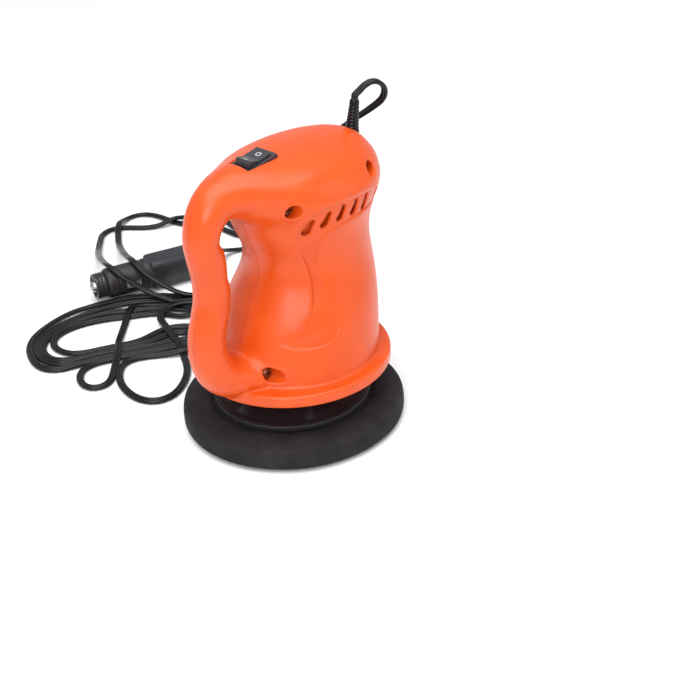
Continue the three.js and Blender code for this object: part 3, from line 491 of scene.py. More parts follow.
def finish(name, base, dark, light, rough, metal=0.0, big=45.0, fine=900.0, bump=0.06, fine_dist=0.00012, spec=0.5, coat=0.0,
           sub=0.0, wear_and_edge_highlight=0.12, swirl=None, rough_var=0.10, streak=0.0, seed=0.0):
    """A procedural finish: broad colour drift, a fine grain that is also a bump, worn edges that lighten (on the foam
    pad also a painted edge highlight), fine rubbing marks in the gloss.
    """
    m = D.materials.new(name)
    m.use_nodes = True
    nt = m.node_tree
    nt.nodes.clear()
    out = node(nt, "ShaderNodeOutputMaterial")
    b = node(nt, "ShaderNodeBsdfPrincipled")
    L = nt.links.new
    L(b.outputs["BSDF"], out.inputs["Surface"])
    tc = node(nt, "ShaderNodeTexCoord")
    mp = node(nt, "ShaderNodeMapping")
    mp.inputs["Location"].default_value = (seed, seed * 0.7, seed * 1.3)
    L(tc.outputs["Object"], mp.inputs["Vector"])
    n1 = node(nt, "ShaderNodeTexNoise", Scale=big, Detail=3.0, Roughness=0.55)
    L(mp.outputs["Vector"], n1.inputs["Vector"])
    r1 = node(nt, "ShaderNodeValToRGB")
    r1.color_ramp.elements[0].position, r1.color_ramp.elements[0].color = 0.30, (*dark, 1)
    r1.color_ramp.elements[1].position, r1.color_ramp.elements[1].color = 0.72, (*base, 1)
    L(n1.outputs["Fac"], r1.inputs["Fac"])
    # edges and hollows: convex edges lighten toward the light colour as wear, and on the foam pad also as a painted
    # edge highlight; hollows are left as they are
    geo = node(nt, "ShaderNodeNewGeometry")
    r2 = node(nt, "ShaderNodeMapRange")
    r2.inputs["From Min"].default_value, r2.inputs["From Max"].default_value = 0.515, 0.60
    r2.inputs["To Min"].default_value, r2.inputs["To Max"].default_value = 0.0, wear_and_edge_highlight
    L(geo.outputs["Pointiness"], r2.inputs["Value"])
    mix = node(nt, "ShaderNodeMix"); mix.data_type = "RGBA"
    mix.inputs[7].default_value = (*light, 1)
    L(r2.outputs["Result"], mix.inputs[0]); L(r1.outputs["Color"], mix.inputs[6])
    # specks
    vo = node(nt, "ShaderNodeTexNoise", Scale=fine * 0.55, Detail=2.0, Roughness=0.7)
    L(mp.outputs["Vector"], vo.inputs["Vector"])
    r3 = node(nt, "ShaderNodeMapRange")
    r3.inputs["From Min"].default_value, r3.inputs["From Max"].default_value = 0.62, 0.80
    r3.inputs["To Min"].default_value, r3.inputs["To Max"].default_value = 0.0, 0.22
    L(vo.outputs["Fac"], r3.inputs["Value"])
    mix2 = node(nt, "ShaderNodeMix"); mix2.data_type = "RGBA"
    mix2.inputs[7].default_value = (*dark, 1)
    L(r3.outputs["Result"], mix2.inputs[0]); L(mix.outputs[2], mix2.inputs[6])
    L(mix2.outputs[2], b.inputs["Base Color"])
    # gloss: smears and rubbing
    n2 = node(nt, "ShaderNodeTexNoise", Scale=big * 3.1, Detail=4.0, Roughness=0.6)
    mp2 = node(nt, "ShaderNodeMapping")
    mp2.inputs["Scale"].default_value = (1.0, 1.0, 0.35) if streak <= 0 else (streak, streak, 0.15)
    L(tc.outputs["Object"], mp2.inputs["Vector"]); L(mp2.outputs["Vector"], n2.inputs["Vector"])
    r4 = node(nt, "ShaderNodeMapRange")
    r4.inputs["From Min"].default_value, r4.inputs["From Max"].default_value = 0.3, 0.7
    r4.inputs["To Min"].default_value, r4.inputs["To Max"].default_value = max(rough - rough_var, 0.04), min(rough + rough_var, 1.0)
    L(n2.outputs["Fac"], r4.inputs["Value"]); L(r4.outputs["Result"], b.inputs["Roughness"])
    # grain
    n3 = node(nt, "ShaderNodeTexNoise", Scale=fine, Detail=3.0, Roughness=0.6)
    L(mp.outputs["Vector"], n3.inputs["Vector"])
    bp = node(nt, "ShaderNodeBump", Strength=bump, Distance=fine_dist)
    L(n3.outputs["Fac"], bp.inputs["Height"]); L(bp.outputs["Normal"], b.inputs["Normal"])
    b.inputs["Metallic"].default_value = metal
    b.inputs["Specular IOR Level"].default_value = spec
    b.inputs["Coat Weight"].default_value = coat
    b.inputs["Coat Roughness"].default_value = 0.25
    if sub:
        b.inputs["Subsurface Weight"].default_value = sub
        b.inputs["Subsurface Radius"].default_value = (0.004, 0.0015, 0.0008)
        b.inputs["Subsurface Scale"].default_value = 0.6
    return m


M = {
    "orange_abs": finish("m_orange_abs", (0.70, 0.084, 0.006), (0.64, 0.070, 0.005), (0.80, 0.15, 0.03), 0.33, bump=0.16, fine=1500, fine_dist=0.00008, spec=0.4, sub=0.02, wear_and_edge_highlight=0.10, rough_var=0.05),
    "black_gloss": finish("m_black_gloss", (0.016, 0.014, 0.018), (0.010, 0.009, 0.011), (0.06, 0.058, 0.066), 0.26, bump=0.05, fine=1600, spec=0.55, wear_and_edge_highlight=0.5, seed=3.0),
    "black_matte": finish("m_black_matte", (0.015, 0.014, 0.018), (0.009, 0.008, 0.011), (0.075, 0.072, 0.082), 0.50, bump=0.22, fine=1300, spec=0.45, wear_and_edge_highlight=0.4, seed=5.0),
    # the foam's convex edges lighten strongly toward its light colour: a painted edge highlight as well as wear
    "black_foam": finish("m_black_foam", (0.023, 0.020, 0.023), (0.012, 0.010, 0.012), (0.06, 0.055, 0.06), 0.88, big=70, bump=0.55, fine=1150, fine_dist=0.0003, spec=0.25, wear_and_edge_highlight=0.35, seed=7.0),
    "black_pvc": finish("m_black_pvc", (0.004, 0.0038, 0.0055), (0.0025, 0.0025, 0.004), (0.03, 0.03, 0.036), 0.30, big=120, bump=0.14, fine=1500, spec=0.28, wear_and_edge_highlight=0.25, seed=9.0),
    "red_pvc": finish("m_red_pvc", (0.42, 0.015, 0.012), (0.28, 0.01, 0.008), (0.6, 0.05, 0.04), 0.45, spec=0.5, seed=11.0),
    "zinc_steel": finish("m_zinc_steel", (0.60, 0.59, 0.56), (0.40, 0.39, 0.37), (0.85, 0.84, 0.82), 0.36, metal=1.0, big=160, bump=0.12, streak=3.0, wear_and_edge_highlight=0.4, seed=13.0),
    "bright_steel": finish("m_bright_steel", (0.66, 0.66, 0.67), (0.46, 0.46, 0.47), (0.9, 0.9, 0.9), 0.26, metal=1.0, big=140, bump=0.10, streak=4.0, wear_and_edge_highlight=0.4, seed=15.0),
    "brass": finish("m_brass", (0.62, 0.42, 0.14), (0.40, 0.26, 0.08), (0.85, 0.68, 0.36), 0.30, metal=1.0, big=150, bump=0.10, streak=3.0, wear_and_edge_highlight=0.4, seed=17.0),
    "copper": finish("m_copper", (0.56, 0.22, 0.08), (0.34, 0.12, 0.05), (0.8, 0.42, 0.22), 0.35, metal=1.0, big=200, bump=0.3, fine=2200, streak=6.0, wear_and_edge_highlight=0.3, seed=19.0),
    "dark_ferrite": finish("m_dark_ferrite", (0.035, 0.035, 0.038), (0.02, 0.02, 0.022), (0.09, 0.09, 0.1), 0.7, bump=0.3, spec=0.3, seed=21.0),
    "nylon": finish("m_nylon", (0.72, 0.69, 0.60), (0.60, 0.57, 0.48), (0.85, 0.83, 0.76), 0.45, bump=0.1, spec=0.5, seed=23.0),
    "mark_white": finish("m_mark_white", (0.72, 0.72, 0.72), (0.58, 0.58, 0.58), (0.85, 0.85, 0.85), 0.5, seed=25.0),
}
SLOT_OF = {}
for part in frame["record"].get("subparts", []):
    SLOT_OF[part["node"]] = part["material_slot"]
for name, ob in frame["nodes"].items():
    ob.data.materials.clear()
    ob.data.materials.append(M[SLOT_OF.get(name, "black_matte")])


def put(ob, body, slot, *nodes, smooth=None):
    """Finish, slot and body of a new piece, and the CAD nodes that it stands for."""
    ob.data.materials.clear()
    ob.data.materials.append(M[slot])
    if smooth is not None:
        ob.data.shade_smooth()
        try:
            ob.data.set_sharp_from_angle(angle=math.radians(smooth))
        except AttributeError:
            pass
    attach(ob, body)
    if nodes:
        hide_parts(*nodes)
    return ob


# ------------------------------------------------------------------ cord
# Centreline of the flex from the strain relief to the plug's boot, mm.
ROUTE = [
    (59.98, 0, 168.03), (60.38, 0, 170), (62.46, -0.92, 171.58), (65.28, -2.3, 174.12), (68.47, -4.06, 175.76), (71.77, -5.7, 175.38), (74.69, -6.68, 173.08), (76.66, -6.65, 169.79),
    (77.29, -5.51, 165.97), (76.66, -3.43, 162.55), (75.23, -0.74, 159.85), (73.53, 2.27, 157.24), (71.9, 5.44, 154.67), (70.45, 8.71, 152.15), (69.23, 12.06, 149.59), (68.2, 15.43, 146.97),
    (67.28, 18.77, 144.26), (66.37, 22.04, 141.44), (65.44, 25.23, 138.55), (64.44, 28.32, 135.57), (63.33, 31.31, 132.53), (62.12, 34.2, 129.44), (60.87, 36.97, 126.29), (59.63, 39.62, 123.01),
    (58.48, 42.13, 119.59), (57.44, 44.5, 116.03), (56.54, 46.7, 112.34), (55.8, 48.72, 108.52), (55.27, 50.54, 104.56), (54.98, 52.14, 100.48), (54.92, 53.54, 96.29), (55.03, 54.79, 92.06),
    (55.26, 55.97, 87.82), (55.59, 57.12, 83.58), (56, 58.27, 79.35), (56.49, 59.41, 75.13), (57.27, 60.61, 70.97), (58.07, 61.82, 66.82), (58.91, 63.05, 62.68), (59.81, 64.29, 58.57),
    (60.78, 65.56, 54.48), (61.84, 66.86, 50.43), (63, 68.2, 46.42), (64.26, 69.58, 42.48), (65.64, 71.02, 38.59), (67.14, 72.52, 34.8), (68.75, 74.08, 31.09), (70.46, 75.71, 27.47),
    (72.27, 77.41, 23.93), (74.2, 79.22, 20.54), (76.29, 81.16, 17.33), (78.51, 83.27, 14.32), (80.87, 85.58, 11.6), (83.33, 88.15, 9.25), (85.85, 91, 7.35), (88.4, 94.11, 5.9),
    (90.94, 97.35, 4.65), (93.47, 100.54, 3.31), (96.01, 103.7, 1.93), (98.41, 107.36, 1.52), (100.73, 111.08, 1.38), (102.99, 114.86, 1.35), (105.19, 118.68, 1.35), (107.32, 122.53, 1.35),
    (109.38, 126.42, 1.35), (111.38, 130.35, 1.35), (113.31, 134.3, 1.35), (115.16, 138.3, 1.35), (116.94, 142.32, 1.35), (118.67, 146.37, 1.38), (120.38, 150.41, 1.55), (122.1, 154.42, 2),
    (123.86, 158.39, 2.78), (125.63, 162.32, 3.75), (127.36, 166.3, 4.5), (128.98, 170.36, 4.52), (130.54, 174.48, 4.37), (132.17, 178.59, 4.39), (133.88, 182.65, 4.56), (135.6, 186.68, 4.52),
    (137.18, 190.73, 3.82), (138.56, 194.82, 2.87), (139.81, 198.97, 2.07), (141.05, 203.15, 1.58), (142.32, 207.35, 1.39), (143.57, 211.56, 1.35), (144.63, 215.81, 1.35), (145.28, 220.09, 1.35),
    (145.24, 224.35, 1.35), (144.33, 228.45, 1.35), (142.48, 232.21, 1.35), (139.81, 235.49, 1.39), (136.51, 238.19, 1.57), (132.8, 240.31, 2.06), (128.84, 241.89, 2.87), (124.73, 243.05, 3.82),
    (120.56, 244.01, 4.37), (116.43, 245.08, 3.8), (112.46, 246.55, 2.84), (108.73, 248.58, 2.03), (105.3, 251.15, 1.56), (102.18, 254.15, 1.38), (99.37, 257.48, 1.35), (96.78, 261.01, 1.35),
    (94.23, 264.55, 1.35), (91.48, 267.81, 1.35), (88.29, 270.35, 1.35), (84.62, 271.73, 1.35), (80.66, 271.74, 1.35), (76.73, 270.5, 1.35), (73.02, 268.38, 1.35), (69.97, 265.29, 1.55),
    (66.95, 262.19, 1.79), (63.96, 259.07, 2.1), (61.03, 255.91, 2.47), (58.13, 252.72, 2.9), (55.35, 249.48, 3.51), (52.71, 246.18, 4.43), (50.2, 242.84, 5.63), (47.76, 239.48, 6.93),
    (45.36, 236.09, 8.25), (43.01, 232.67, 9.61), (40.72, 229.21, 10.98), (38.48, 225.72, 12.34), (36.28, 222.18, 13.66), (34.16, 218.61, 14.92), (32.11, 215, 16.08), (30.18, 211.37, 17.16),
    (28.33, 207.73, 18.18), (26.49, 204.09, 19.27), (24.68, 200.4, 20.46), (23.08, 196.59, 21.57), (21.87, 192.66, 22.2), (21.31, 188.7, 21.81), (21.63, 184.97, 20.33), (22.83, 181.66, 18.14),
    (24.57, 178.7, 15.72), (26.43, 175.81, 13.41), (28.17, 172.89, 11.23), (29.94, 169.92, 9.1), (31.71, 166.68, 7.26), (33.42, 163.13, 5.84), (35.11, 159.39, 4.77), (36.83, 155.64, 3.8),
    (38.57, 151.94, 2.73), (40.81, 148.23, 2.92), (43.48, 144.82, 3.3), (46.38, 141.58, 3.45), (49.06, 138.22, 3.22), (51.11, 134.51, 2.59), (52.42, 130.44, 1.9), (53.09, 126.14, 1.46),
    (53.27, 121.77, 1.36), (52.9, 117.45, 1.35), (51.77, 113.33, 1.35), (49.78, 109.56, 1.35), (47.05, 106.19, 1.35), (43.84, 103.2, 1.35), (40.34, 100.56, 1.35), (36.6, 98.33, 1.35),
    (32.64, 96.71, 1.35), (28.52, 96, 1.35), (24.43, 96.41, 1.35), (20.62, 97.97, 1.35), (17.18, 100.43, 1.35), (13.96, 103.31, 1.35), (10.67, 106.13, 1.35), (7.15, 108.66, 1.35),
    (3.4, 110.87, 1.35), (-0.47, 112.9, 1.35), (-4.37, 114.87, 1.35), (-8.23, 116.93, 1.35), (-12.01, 119.11, 1.35), (-15.74, 121.37, 1.35), (-19.47, 123.65, 1.35), (-23.22, 125.89, 1.35),
    (-26.98, 128.1, 1.35), (-30.78, 130.25, 1.35), (-34.63, 132.28, 1.35), (-38.57, 134.14, 1.35), (-42.6, 135.8, 1.35), (-46.71, 137.29, 1.35), (-50.85, 138.71, 1.35), (-54.91, 140.27, 1.35),
    (-58.72, 142.22, 1.35), (-61.96, 144.82, 1.35), (-64.33, 148.14, 1.35), (-65.63, 152.02, 1.35), (-65.86, 156.2, 1.35), (-65.21, 160.42, 1.35), (-63.94, 164.57, 1.35), (-62.25, 168.6, 1.35),
    (-60.24, 172.49, 1.35), (-57.92, 176.2, 1.35), (-55.24, 179.63, 1.35), (-52.19, 182.73, 1.35), (-48.79, 185.43, 1.35), (-45.09, 187.73, 1.35), (-41.16, 189.61, 1.35), (-37.07, 191.14, 1.35),
    (-32.86, 192.37, 1.35), (-28.58, 193.35, 1.35), (-24.26, 194.13, 1.35), (-19.91, 194.66, 1.35), (-15.55, 194.88, 1.35), (-11.2, 194.7, 1.35), (-6.91, 194, 1.35), (-2.75, 192.76, 1.39),
    (1.28, 191.13, 1.56), (5.29, 189.4, 1.75), (9.36, 187.81, 1.56), (13.47, 186.32, 1.39), (17.56, 184.76, 1.35), (21.53, 182.94, 1.35), (25.3, 180.77, 1.35), (28.81, 178.2, 1.35),
    (32.03, 175.27, 1.35), (35.01, 172.07, 1.35), (37.82, 168.71, 1.35), (40.49, 165.24, 1.35), (42.97, 161.64, 1.35), (45.12, 157.87, 1.35), (46.74, 153.88, 1.35), (47.76, 149.7, 1.35),
    (48.29, 145.39, 1.35), (48.56, 141.02, 1.35), (48.73, 136.65, 1.35), (48.76, 132.28, 1.35), (48.42, 127.96, 1.35), (47.55, 123.69, 1.35), (46.19, 119.53, 1.35), (44.41, 115.52, 1.35),
    (42.26, 111.69, 1.35), (39.77, 108.1, 1.35), (36.87, 104.93, 1.35), (33.48, 102.5, 1.35), (29.65, 101.17, 1.35), (25.64, 101.2, 1.35), (21.81, 102.56, 1.35), (18.27, 104.9, 1.35),
    (14.91, 107.67, 1.35), (11.5, 110.42, 1.35), (7.89, 112.93, 1.35), (4.09, 115.18, 1.35), (0.17, 117.26, 1.35), (-3.8, 119.28, 1.35), (-7.75, 121.32, 1.35), (-11.66, 123.43, 1.35),
    (-15.55, 125.61, 1.35), (-19.4, 127.82, 1.35), (-23.24, 130.06, 1.35), (-27.1, 132.26, 1.35), (-30.99, 134.39, 1.35), (-34.93, 136.4, 1.35), (-38.94, 138.26, 1.35), (-42.99, 139.98, 1.35),
    (-47.02, 141.71, 1.35), (-50.86, 143.7, 1.35), (-54.28, 146.22, 1.35), (-57.01, 149.38, 1.35), (-58.84, 153.12, 1.35), (-59.68, 157.23, 1.35), (-59.58, 161.47, 1.35), (-58.62, 165.65, 1.35),
    (-56.97, 169.64, 1.35), (-54.76, 173.39, 1.35), (-52.08, 176.81, 1.35), (-48.95, 179.8, 1.35), (-45.4, 182.25, 1.35), (-41.49, 184.1, 1.35), (-37.33, 185.39, 1.35), (-33.03, 186.18, 1.35),
    (-28.66, 186.58, 1.35), (-24.26, 186.68, 1.35), (-19.85, 186.59, 1.35), (-15.45, 186.33, 1.35), (-11.06, 185.91, 1.35), (-6.7, 185.31, 1.35), (-2.37, 184.5, 1.35), (1.91, 183.45, 1.35),
    (6.1, 182.14, 1.35), (10.2, 180.54, 1.35), (14.17, 178.66, 1.35), (18.02, 176.53, 1.35), (21.73, 174.15, 1.35), (25.28, 171.56, 1.35), (28.66, 168.74, 1.35), (31.84, 165.71, 1.35),
    (34.78, 162.44, 1.35), (37.43, 158.94, 1.35), (39.78, 155.23, 1.35), (41.78, 151.33, 1.35), (43.34, 147.25, 1.35), (44.39, 143.03, 1.37), (45.06, 138.73, 1.51), (45.71, 134.44, 1.93),
    (46.68, 130.24, 2.63), (47.91, 126.14, 3.21), (48.86, 122.06, 3.1), (48.93, 117.99, 2.44), (47.88, 114.04, 1.83), (45.89, 110.36, 1.77), (43.2, 107.09, 2.31), (39.93, 104.44, 2.9),
    (36.16, 102.58, 3.31), (32.01, 101.5, 3.51), (27.68, 101, 3.52), (23.28, 100.86, 3.53), (18.92, 101.03, 3.48), (14.68, 101.69, 3.15), (10.62, 102.96, 2.37), (6.71, 104.75, 1.66),
    (2.86, 106.74, 1.4), (-1.02, 108.73, 1.35), (-4.9, 110.7, 1.35), (-8.73, 112.76, 1.35), (-12.48, 114.95, 1.35), (-16.18, 117.23, 1.35), (-19.88, 119.51, 1.35), (-23.61, 121.75, 1.35),
    (-27.37, 123.96, 1.35), (-31.15, 126.12, 1.35), (-34.99, 128.15, 1.35), (-38.93, 129.93, 1.35), (-43, 131.22, 1.35), (-47.12, 131.67, 1.35), (-51.12, 130.96, 1.35), (-54.76, 129.07, 1.35),
    (-57.86, 126.24, 1.35), (-60.32, 122.77, 1.35), (-61.96, 118.92, 1.35), (-62.46, 114.94, 1.35), (-61.55, 111.25, 1.35), (-59.22, 108.45, 1.35), (-55.84, 107.04, 1.35), (-52.05, 107.26, 1.35),
    (-48.37, 108.92, 1.35), (-44.98, 111.5, 1.35), (-41.75, 114.42, 1.39), (-38.48, 117.34, 1.6), (-35.15, 120.18, 2.05), (-31.88, 123.07, 2.7), (-28.74, 126.11, 3.29), (-25.74, 129.31, 3.57),
    (-22.82, 132.6, 3.54), (-19.92, 135.9, 3.27), (-16.95, 139.11, 2.66), (-13.86, 142.2, 2.01), (-10.65, 145.18, 1.57), (-7.35, 148.09, 1.39), (-3.99, 150.95, 1.39), (-0.61, 153.77, 1.58),
    (2.77, 156.58, 2.02), (6.1, 159.42, 2.63), (9.41, 162.24, 3.11), (12.84, 164.76, 3.17), (16.45, 166.39, 2.81), (20.17, 166.58, 2.16), (23.75, 165.2, 1.63), (26.95, 162.63, 1.4),
    (29.76, 159.38, 1.35), (32.28, 155.82, 1.35), (34.56, 152.11, 1.36), (36.52, 148.26, 1.42), (37.93, 144.26, 1.75), (38.68, 140.11, 2.52), (38.98, 135.88, 3.01), (39.16, 131.6, 2.4),
    (39.3, 127.3, 1.59), (39.21, 122.99, 1.37), (38.69, 118.71, 1.35), (37.62, 114.55, 1.35), (35.89, 110.72, 1.35), (33.38, 107.6, 1.35), (30.12, 105.69, 1.35), (26.48, 105.42, 1.35),
    (23.12, 106.82, 1.35), (20.6, 109.58, 1.35), (18.9, 113.14, 1.35), (17.24, 116.7, 1.35), (14.78, 119.56, 1.35), (11.32, 121.44, 1.35), (7.25, 122.61, 1.35), (3, 123.54, 1.35),
    (-1.25, 124.56, 1.35), (-5.41, 125.85, 1.35), (-9.47, 127.46, 1.35), (-13.41, 129.35, 1.35), (-17.25, 131.42, 1.35), (-21.05, 133.59, 1.35), (-24.85, 135.76, 1.35), (-28.7, 137.85, 1.35),
    (-32.6, 139.82, 1.35), (-36.57, 141.66, 1.35), (-40.58, 143.4, 1.35), (-44.55, 145.21, 1.35), (-48.26, 147.36, 1.35), (-51.43, 150.11, 1.35), (-53.77, 153.52, 1.35), (-55.05, 157.43, 1.35),
    (-55.22, 161.57, 1.35), (-54.35, 165.69, 1.35), (-52.61, 169.55, 1.35), (-50.15, 173.04, 1.35), (-47.1, 176.03, 1.35), (-43.58, 178.47, 1.35), (-39.69, 180.31, 1.35), (-35.56, 181.59, 1.35),
    (-31.28, 182.33, 1.35), (-26.94, 182.61, 1.35), (-22.59, 182.46, 1.35), (-18.24, 181.97, 1.35), (-13.93, 181.23, 1.35), (-9.65, 180.28, 1.35), (-5.44, 179.11, 1.35), (-1.33, 177.65, 1.35),
    (2.61, 175.8, 1.35), (6.29, 173.52, 1.35), (9.69, 170.82, 1.35), (12.91, 167.87, 1.35), (16.12, 164.9, 1.35), (19.45, 162.07, 1.35), (22.81, 159.27, 1.35), (25.98, 156.28, 1.35),
    (28.76, 152.96, 1.35), (31.1, 149.3, 1.35), (33.14, 145.44, 1.35), (35.19, 141.61, 1.35), (37.52, 137.99, 1.35), (39.96, 134.49, 1.35), (41.97, 130.83, 1.36), (43.06, 126.86, 1.42),
    (43.11, 122.74, 1.74), (42.11, 118.81, 2.41), (40.06, 115.51, 3), (37.03, 113.36, 3.23), (33.45, 112.75, 2.74), (29.96, 113.8, 2.05), (27.01, 116.27, 1.57), (24.52, 119.57, 1.39),
    (22.02, 122.97, 1.35), (19.05, 125.94, 1.35), (15.5, 128.2, 1.35), (11.53, 129.68, 1.35), (7.31, 130.41, 1.35), (3, 130.6, 1.35), (-1.32, 130.63, 1.35), (-5.58, 131.02, 1.35),
    (-9.7, 132.06, 1.35), (-13.66, 133.75, 1.35), (-17.5, 135.8, 1.35), (-21.31, 137.96, 1.35), (-25.16, 140.07, 1.35), (-29.06, 142.09, 1.35), (-32.97, 144.08, 1.35), (-36.78, 146.2, 1.35),
    (-40.24, 148.71, 1.35), (-43.08, 151.79, 1.35), (-45.03, 155.46, 1.35), (-45.98, 159.53, 1.35), (-45.93, 163.75, 1.35), (-44.92, 167.84, 1.35), (-42.99, 171.55, 1.35), (-40.21, 174.62, 1.35),
    (-36.71, 176.84, 1.35), (-32.72, 178.13, 1.35), (-28.47, 178.59, 1.35), (-24.16, 178.36, 1.35), (-19.88, 177.58, 1.35), (-15.69, 176.35, 1.35), (-11.62, 174.75, 1.35), (-7.68, 172.85, 1.35),
    (-3.88, 170.68, 1.35), (-0.24, 168.25, 1.35), (3.24, 165.58, 1.35), (6.6, 162.77, 1.35), (9.97, 159.96, 1.35), (13.45, 157.29, 1.35), (16.97, 154.69, 1.35), (20.29, 151.91, 1.35),
    (23.09, 148.71, 1.35), (25.19, 145.02, 1.35), (26.78, 141.01, 1.35), (28.36, 137.04, 1.41), (30.46, 133.52, 1.67), (33.33, 130.72, 2.27), (36.79, 128.58, 3.05), (40.28, 126.54, 3.62),
    (43.19, 123.93, 3.76), (45.15, 120.49, 3.73), (46.21, 116.45, 3.71), (46.63, 112.14, 3.74), (46.49, 107.83, 3.61), (45.62, 103.71, 3.25), (43.81, 99.99, 2.62), (41.1, 96.83, 1.98),
    (37.71, 94.26, 1.55), (33.9, 92.29, 1.38), (29.82, 90.93, 1.35), (25.59, 90.27, 1.35), (21.3, 90.33, 1.35), (17.05, 91.02, 1.36), (12.85, 92.16, 1.44), (8.75, 93.58, 1.78),
    (4.77, 95.26, 2.38), (0.98, 97.29, 2.92), (-2.56, 99.74, 2.8), (-5.85, 102.54, 2.22), (-9, 105.54, 1.69), (-12.18, 108.53, 1.41), (-15.5, 111.35, 1.36), (-19.02, 113.89, 1.35),
    (-22.75, 115.93, 1.35), (-26.65, 117.08, 1.35), (-30.58, 116.92, 1.35), (-34.31, 115.41, 1.35), (-37.71, 112.91, 1.35), (-40.77, 109.86, 1.35), (-43.54, 106.5, 1.35), (-45.96, 102.88, 1.35),
    (-47.99, 99.03, 1.35), (-49.6, 94.98, 1.35), (-50.82, 90.79, 1.35), (-51.63, 86.5, 1.35), (-51.95, 82.17, 1.35), (-51.62, 77.91, 1.35), (-50.44, 73.89, 1.35), (-48.28, 70.45, 1.35),
    (-45.18, 67.92, 1.35), (-41.39, 66.56, 1.35), (-37.26, 66.36, 1.35), (-33.09, 67.16, 1.35), (-29.05, 68.69, 1.35), (-25.18, 70.71, 1.35), (-21.49, 73.06, 1.35), (-17.99, 75.7, 1.35),
    (-14.71, 78.59, 1.35), (-11.7, 81.76, 1.35), (-8.97, 85.17, 1.35), (-6.5, 88.79, 1.35), (-4.17, 92.51, 1.35), (-1.84, 96.23, 1.4), (0.53, 99.88, 1.68), (2.77, 103.56, 2.5),
    (4.63, 107.43, 3.17), (6.07, 111.52, 3.32), (7.33, 115.71, 3.26), (8.75, 119.86, 3.23), (10.47, 123.89, 3.27), (12.35, 127.83, 3.19), (14.14, 131.81, 2.93), (15.82, 135.81, 2.58),
    (17.69, 139.66, 2.43), (20.16, 142.97, 2.61), (23.38, 145.35, 3), (27.2, 146.5, 3.26), (31.25, 146.37, 3.47), (35.23, 145.14, 3.71), (38.92, 143.04, 3.97), (42.22, 140.28, 3.99),
    (45.11, 137.04, 3.87), (47.66, 133.53, 3.8), (50.13, 130, 3.76), (52.88, 126.88, 3.58), (56.17, 124.67, 2.99), (59.92, 123.75, 2.22), (63.75, 124.28, 1.65), (67.21, 126.19, 1.4),
    (69.86, 129.2, 1.35), (71.36, 132.89, 1.35), (71.44, 136.74, 1.35), (68.88, 139.07, 1.49), (66.08, 141.2, 1.65), (62.64, 142.53, 2.03), (59.18, 143.78, 2.49), (55.7, 144.92, 2.86),
    (52.21, 146.16, 3.36), (49.17, 148.26, 4.11), (46.74, 151.2, 5.05), (44.69, 154.49, 6.21), (42.92, 157.9, 7.67), (41.35, 161.29, 9.39), (39.92, 164.63, 11.23), (38.52, 167.95, 13.14),
    (37.12, 171.25, 15.19), (35.97, 174.58, 17.41), (35.39, 178.05, 19.57), (35.51, 181.78, 21.29), (36.32, 185.73, 22.13), (37.65, 189.7, 21.88), (39.31, 193.53, 20.88), (41.12, 197.25, 19.69),
    (42.95, 200.92, 18.62), (44.83, 204.58, 17.62), (46.81, 208.22, 16.58), (48.88, 211.85, 15.45), (51.01, 215.44, 14.23), (53.19, 219.01, 12.94), (55.41, 222.54, 11.59), (57.65, 226.05, 10.2),
    (59.92, 229.54, 8.81), (62.21, 233.02, 7.44), (64.53, 236.5, 6.12), (66.88, 239.97, 4.86), (69.25, 243.45, 3.67), (71.64, 246.93, 2.54), (74.03, 250.41, 1.44), (76.65, 253.94, 1.41),
    (79.34, 257.41, 1.64), (82.1, 260.79, 2.18), (84.96, 264.05, 3.01), (87.96, 267.14, 3.92), (91.17, 270, 4.36), (94.63, 272.51, 3.72), (98.36, 274.55, 2.78), (102.33, 275.97, 2.01),
    (106.46, 276.55, 1.55), (110.49, 276.04, 1.38), (114.08, 274.32, 1.35), (116.89, 271.47, 1.35), (118.78, 267.8, 1.35), (119.87, 263.67, 1.35), (120.37, 259.35, 1.35), (120.53, 254.96, 1.35),
    (120.58, 250.57, 1.35), (120.71, 246.19, 1.35), (121.19, 241.87, 1.35), (122.25, 237.7, 1.35), (123.93, 233.74, 1.35), (126.07, 229.95, 1.35), (128.35, 226.22, 1.35), (130.47, 222.4, 1.35),
    (132.16, 218.41, 1.35), (133.31, 214.23, 1.35), (133.89, 209.92, 1.35), (133.98, 205.56, 1.35), (133.78, 201.18, 1.35), (133.59, 196.81, 1.35), (133.82, 192.51, 1.35), (134.84, 188.43, 1.35),
    (136.74, 184.66, 1.35), (139.24, 181.14, 1.35), (141.74, 177.64, 1.35), (143.58, 173.94, 1.35), (144.17, 170.1, 1.35), (143.16, 166.54, 1.35), (140.66, 163.9, 1.35), (137.21, 162.75, 1.35),
    (133.46, 163.26, 1.35), (129.86, 165.15, 1.35), (126.51, 167.8, 1.35), (123.2, 170.61, 1.38), (119.72, 173.11, 1.55), (115.98, 174.92, 2.06), (112.08, 175.76, 3.04), (108.24, 175.49, 4.48),
    (104.65, 174.23, 6.31), (101.28, 172.34, 8.33), (97.85, 170.35, 10.07), (94.6, 166.3, 11), (92.3, 166.85, 11), (90.12, 167.57, 11),
]


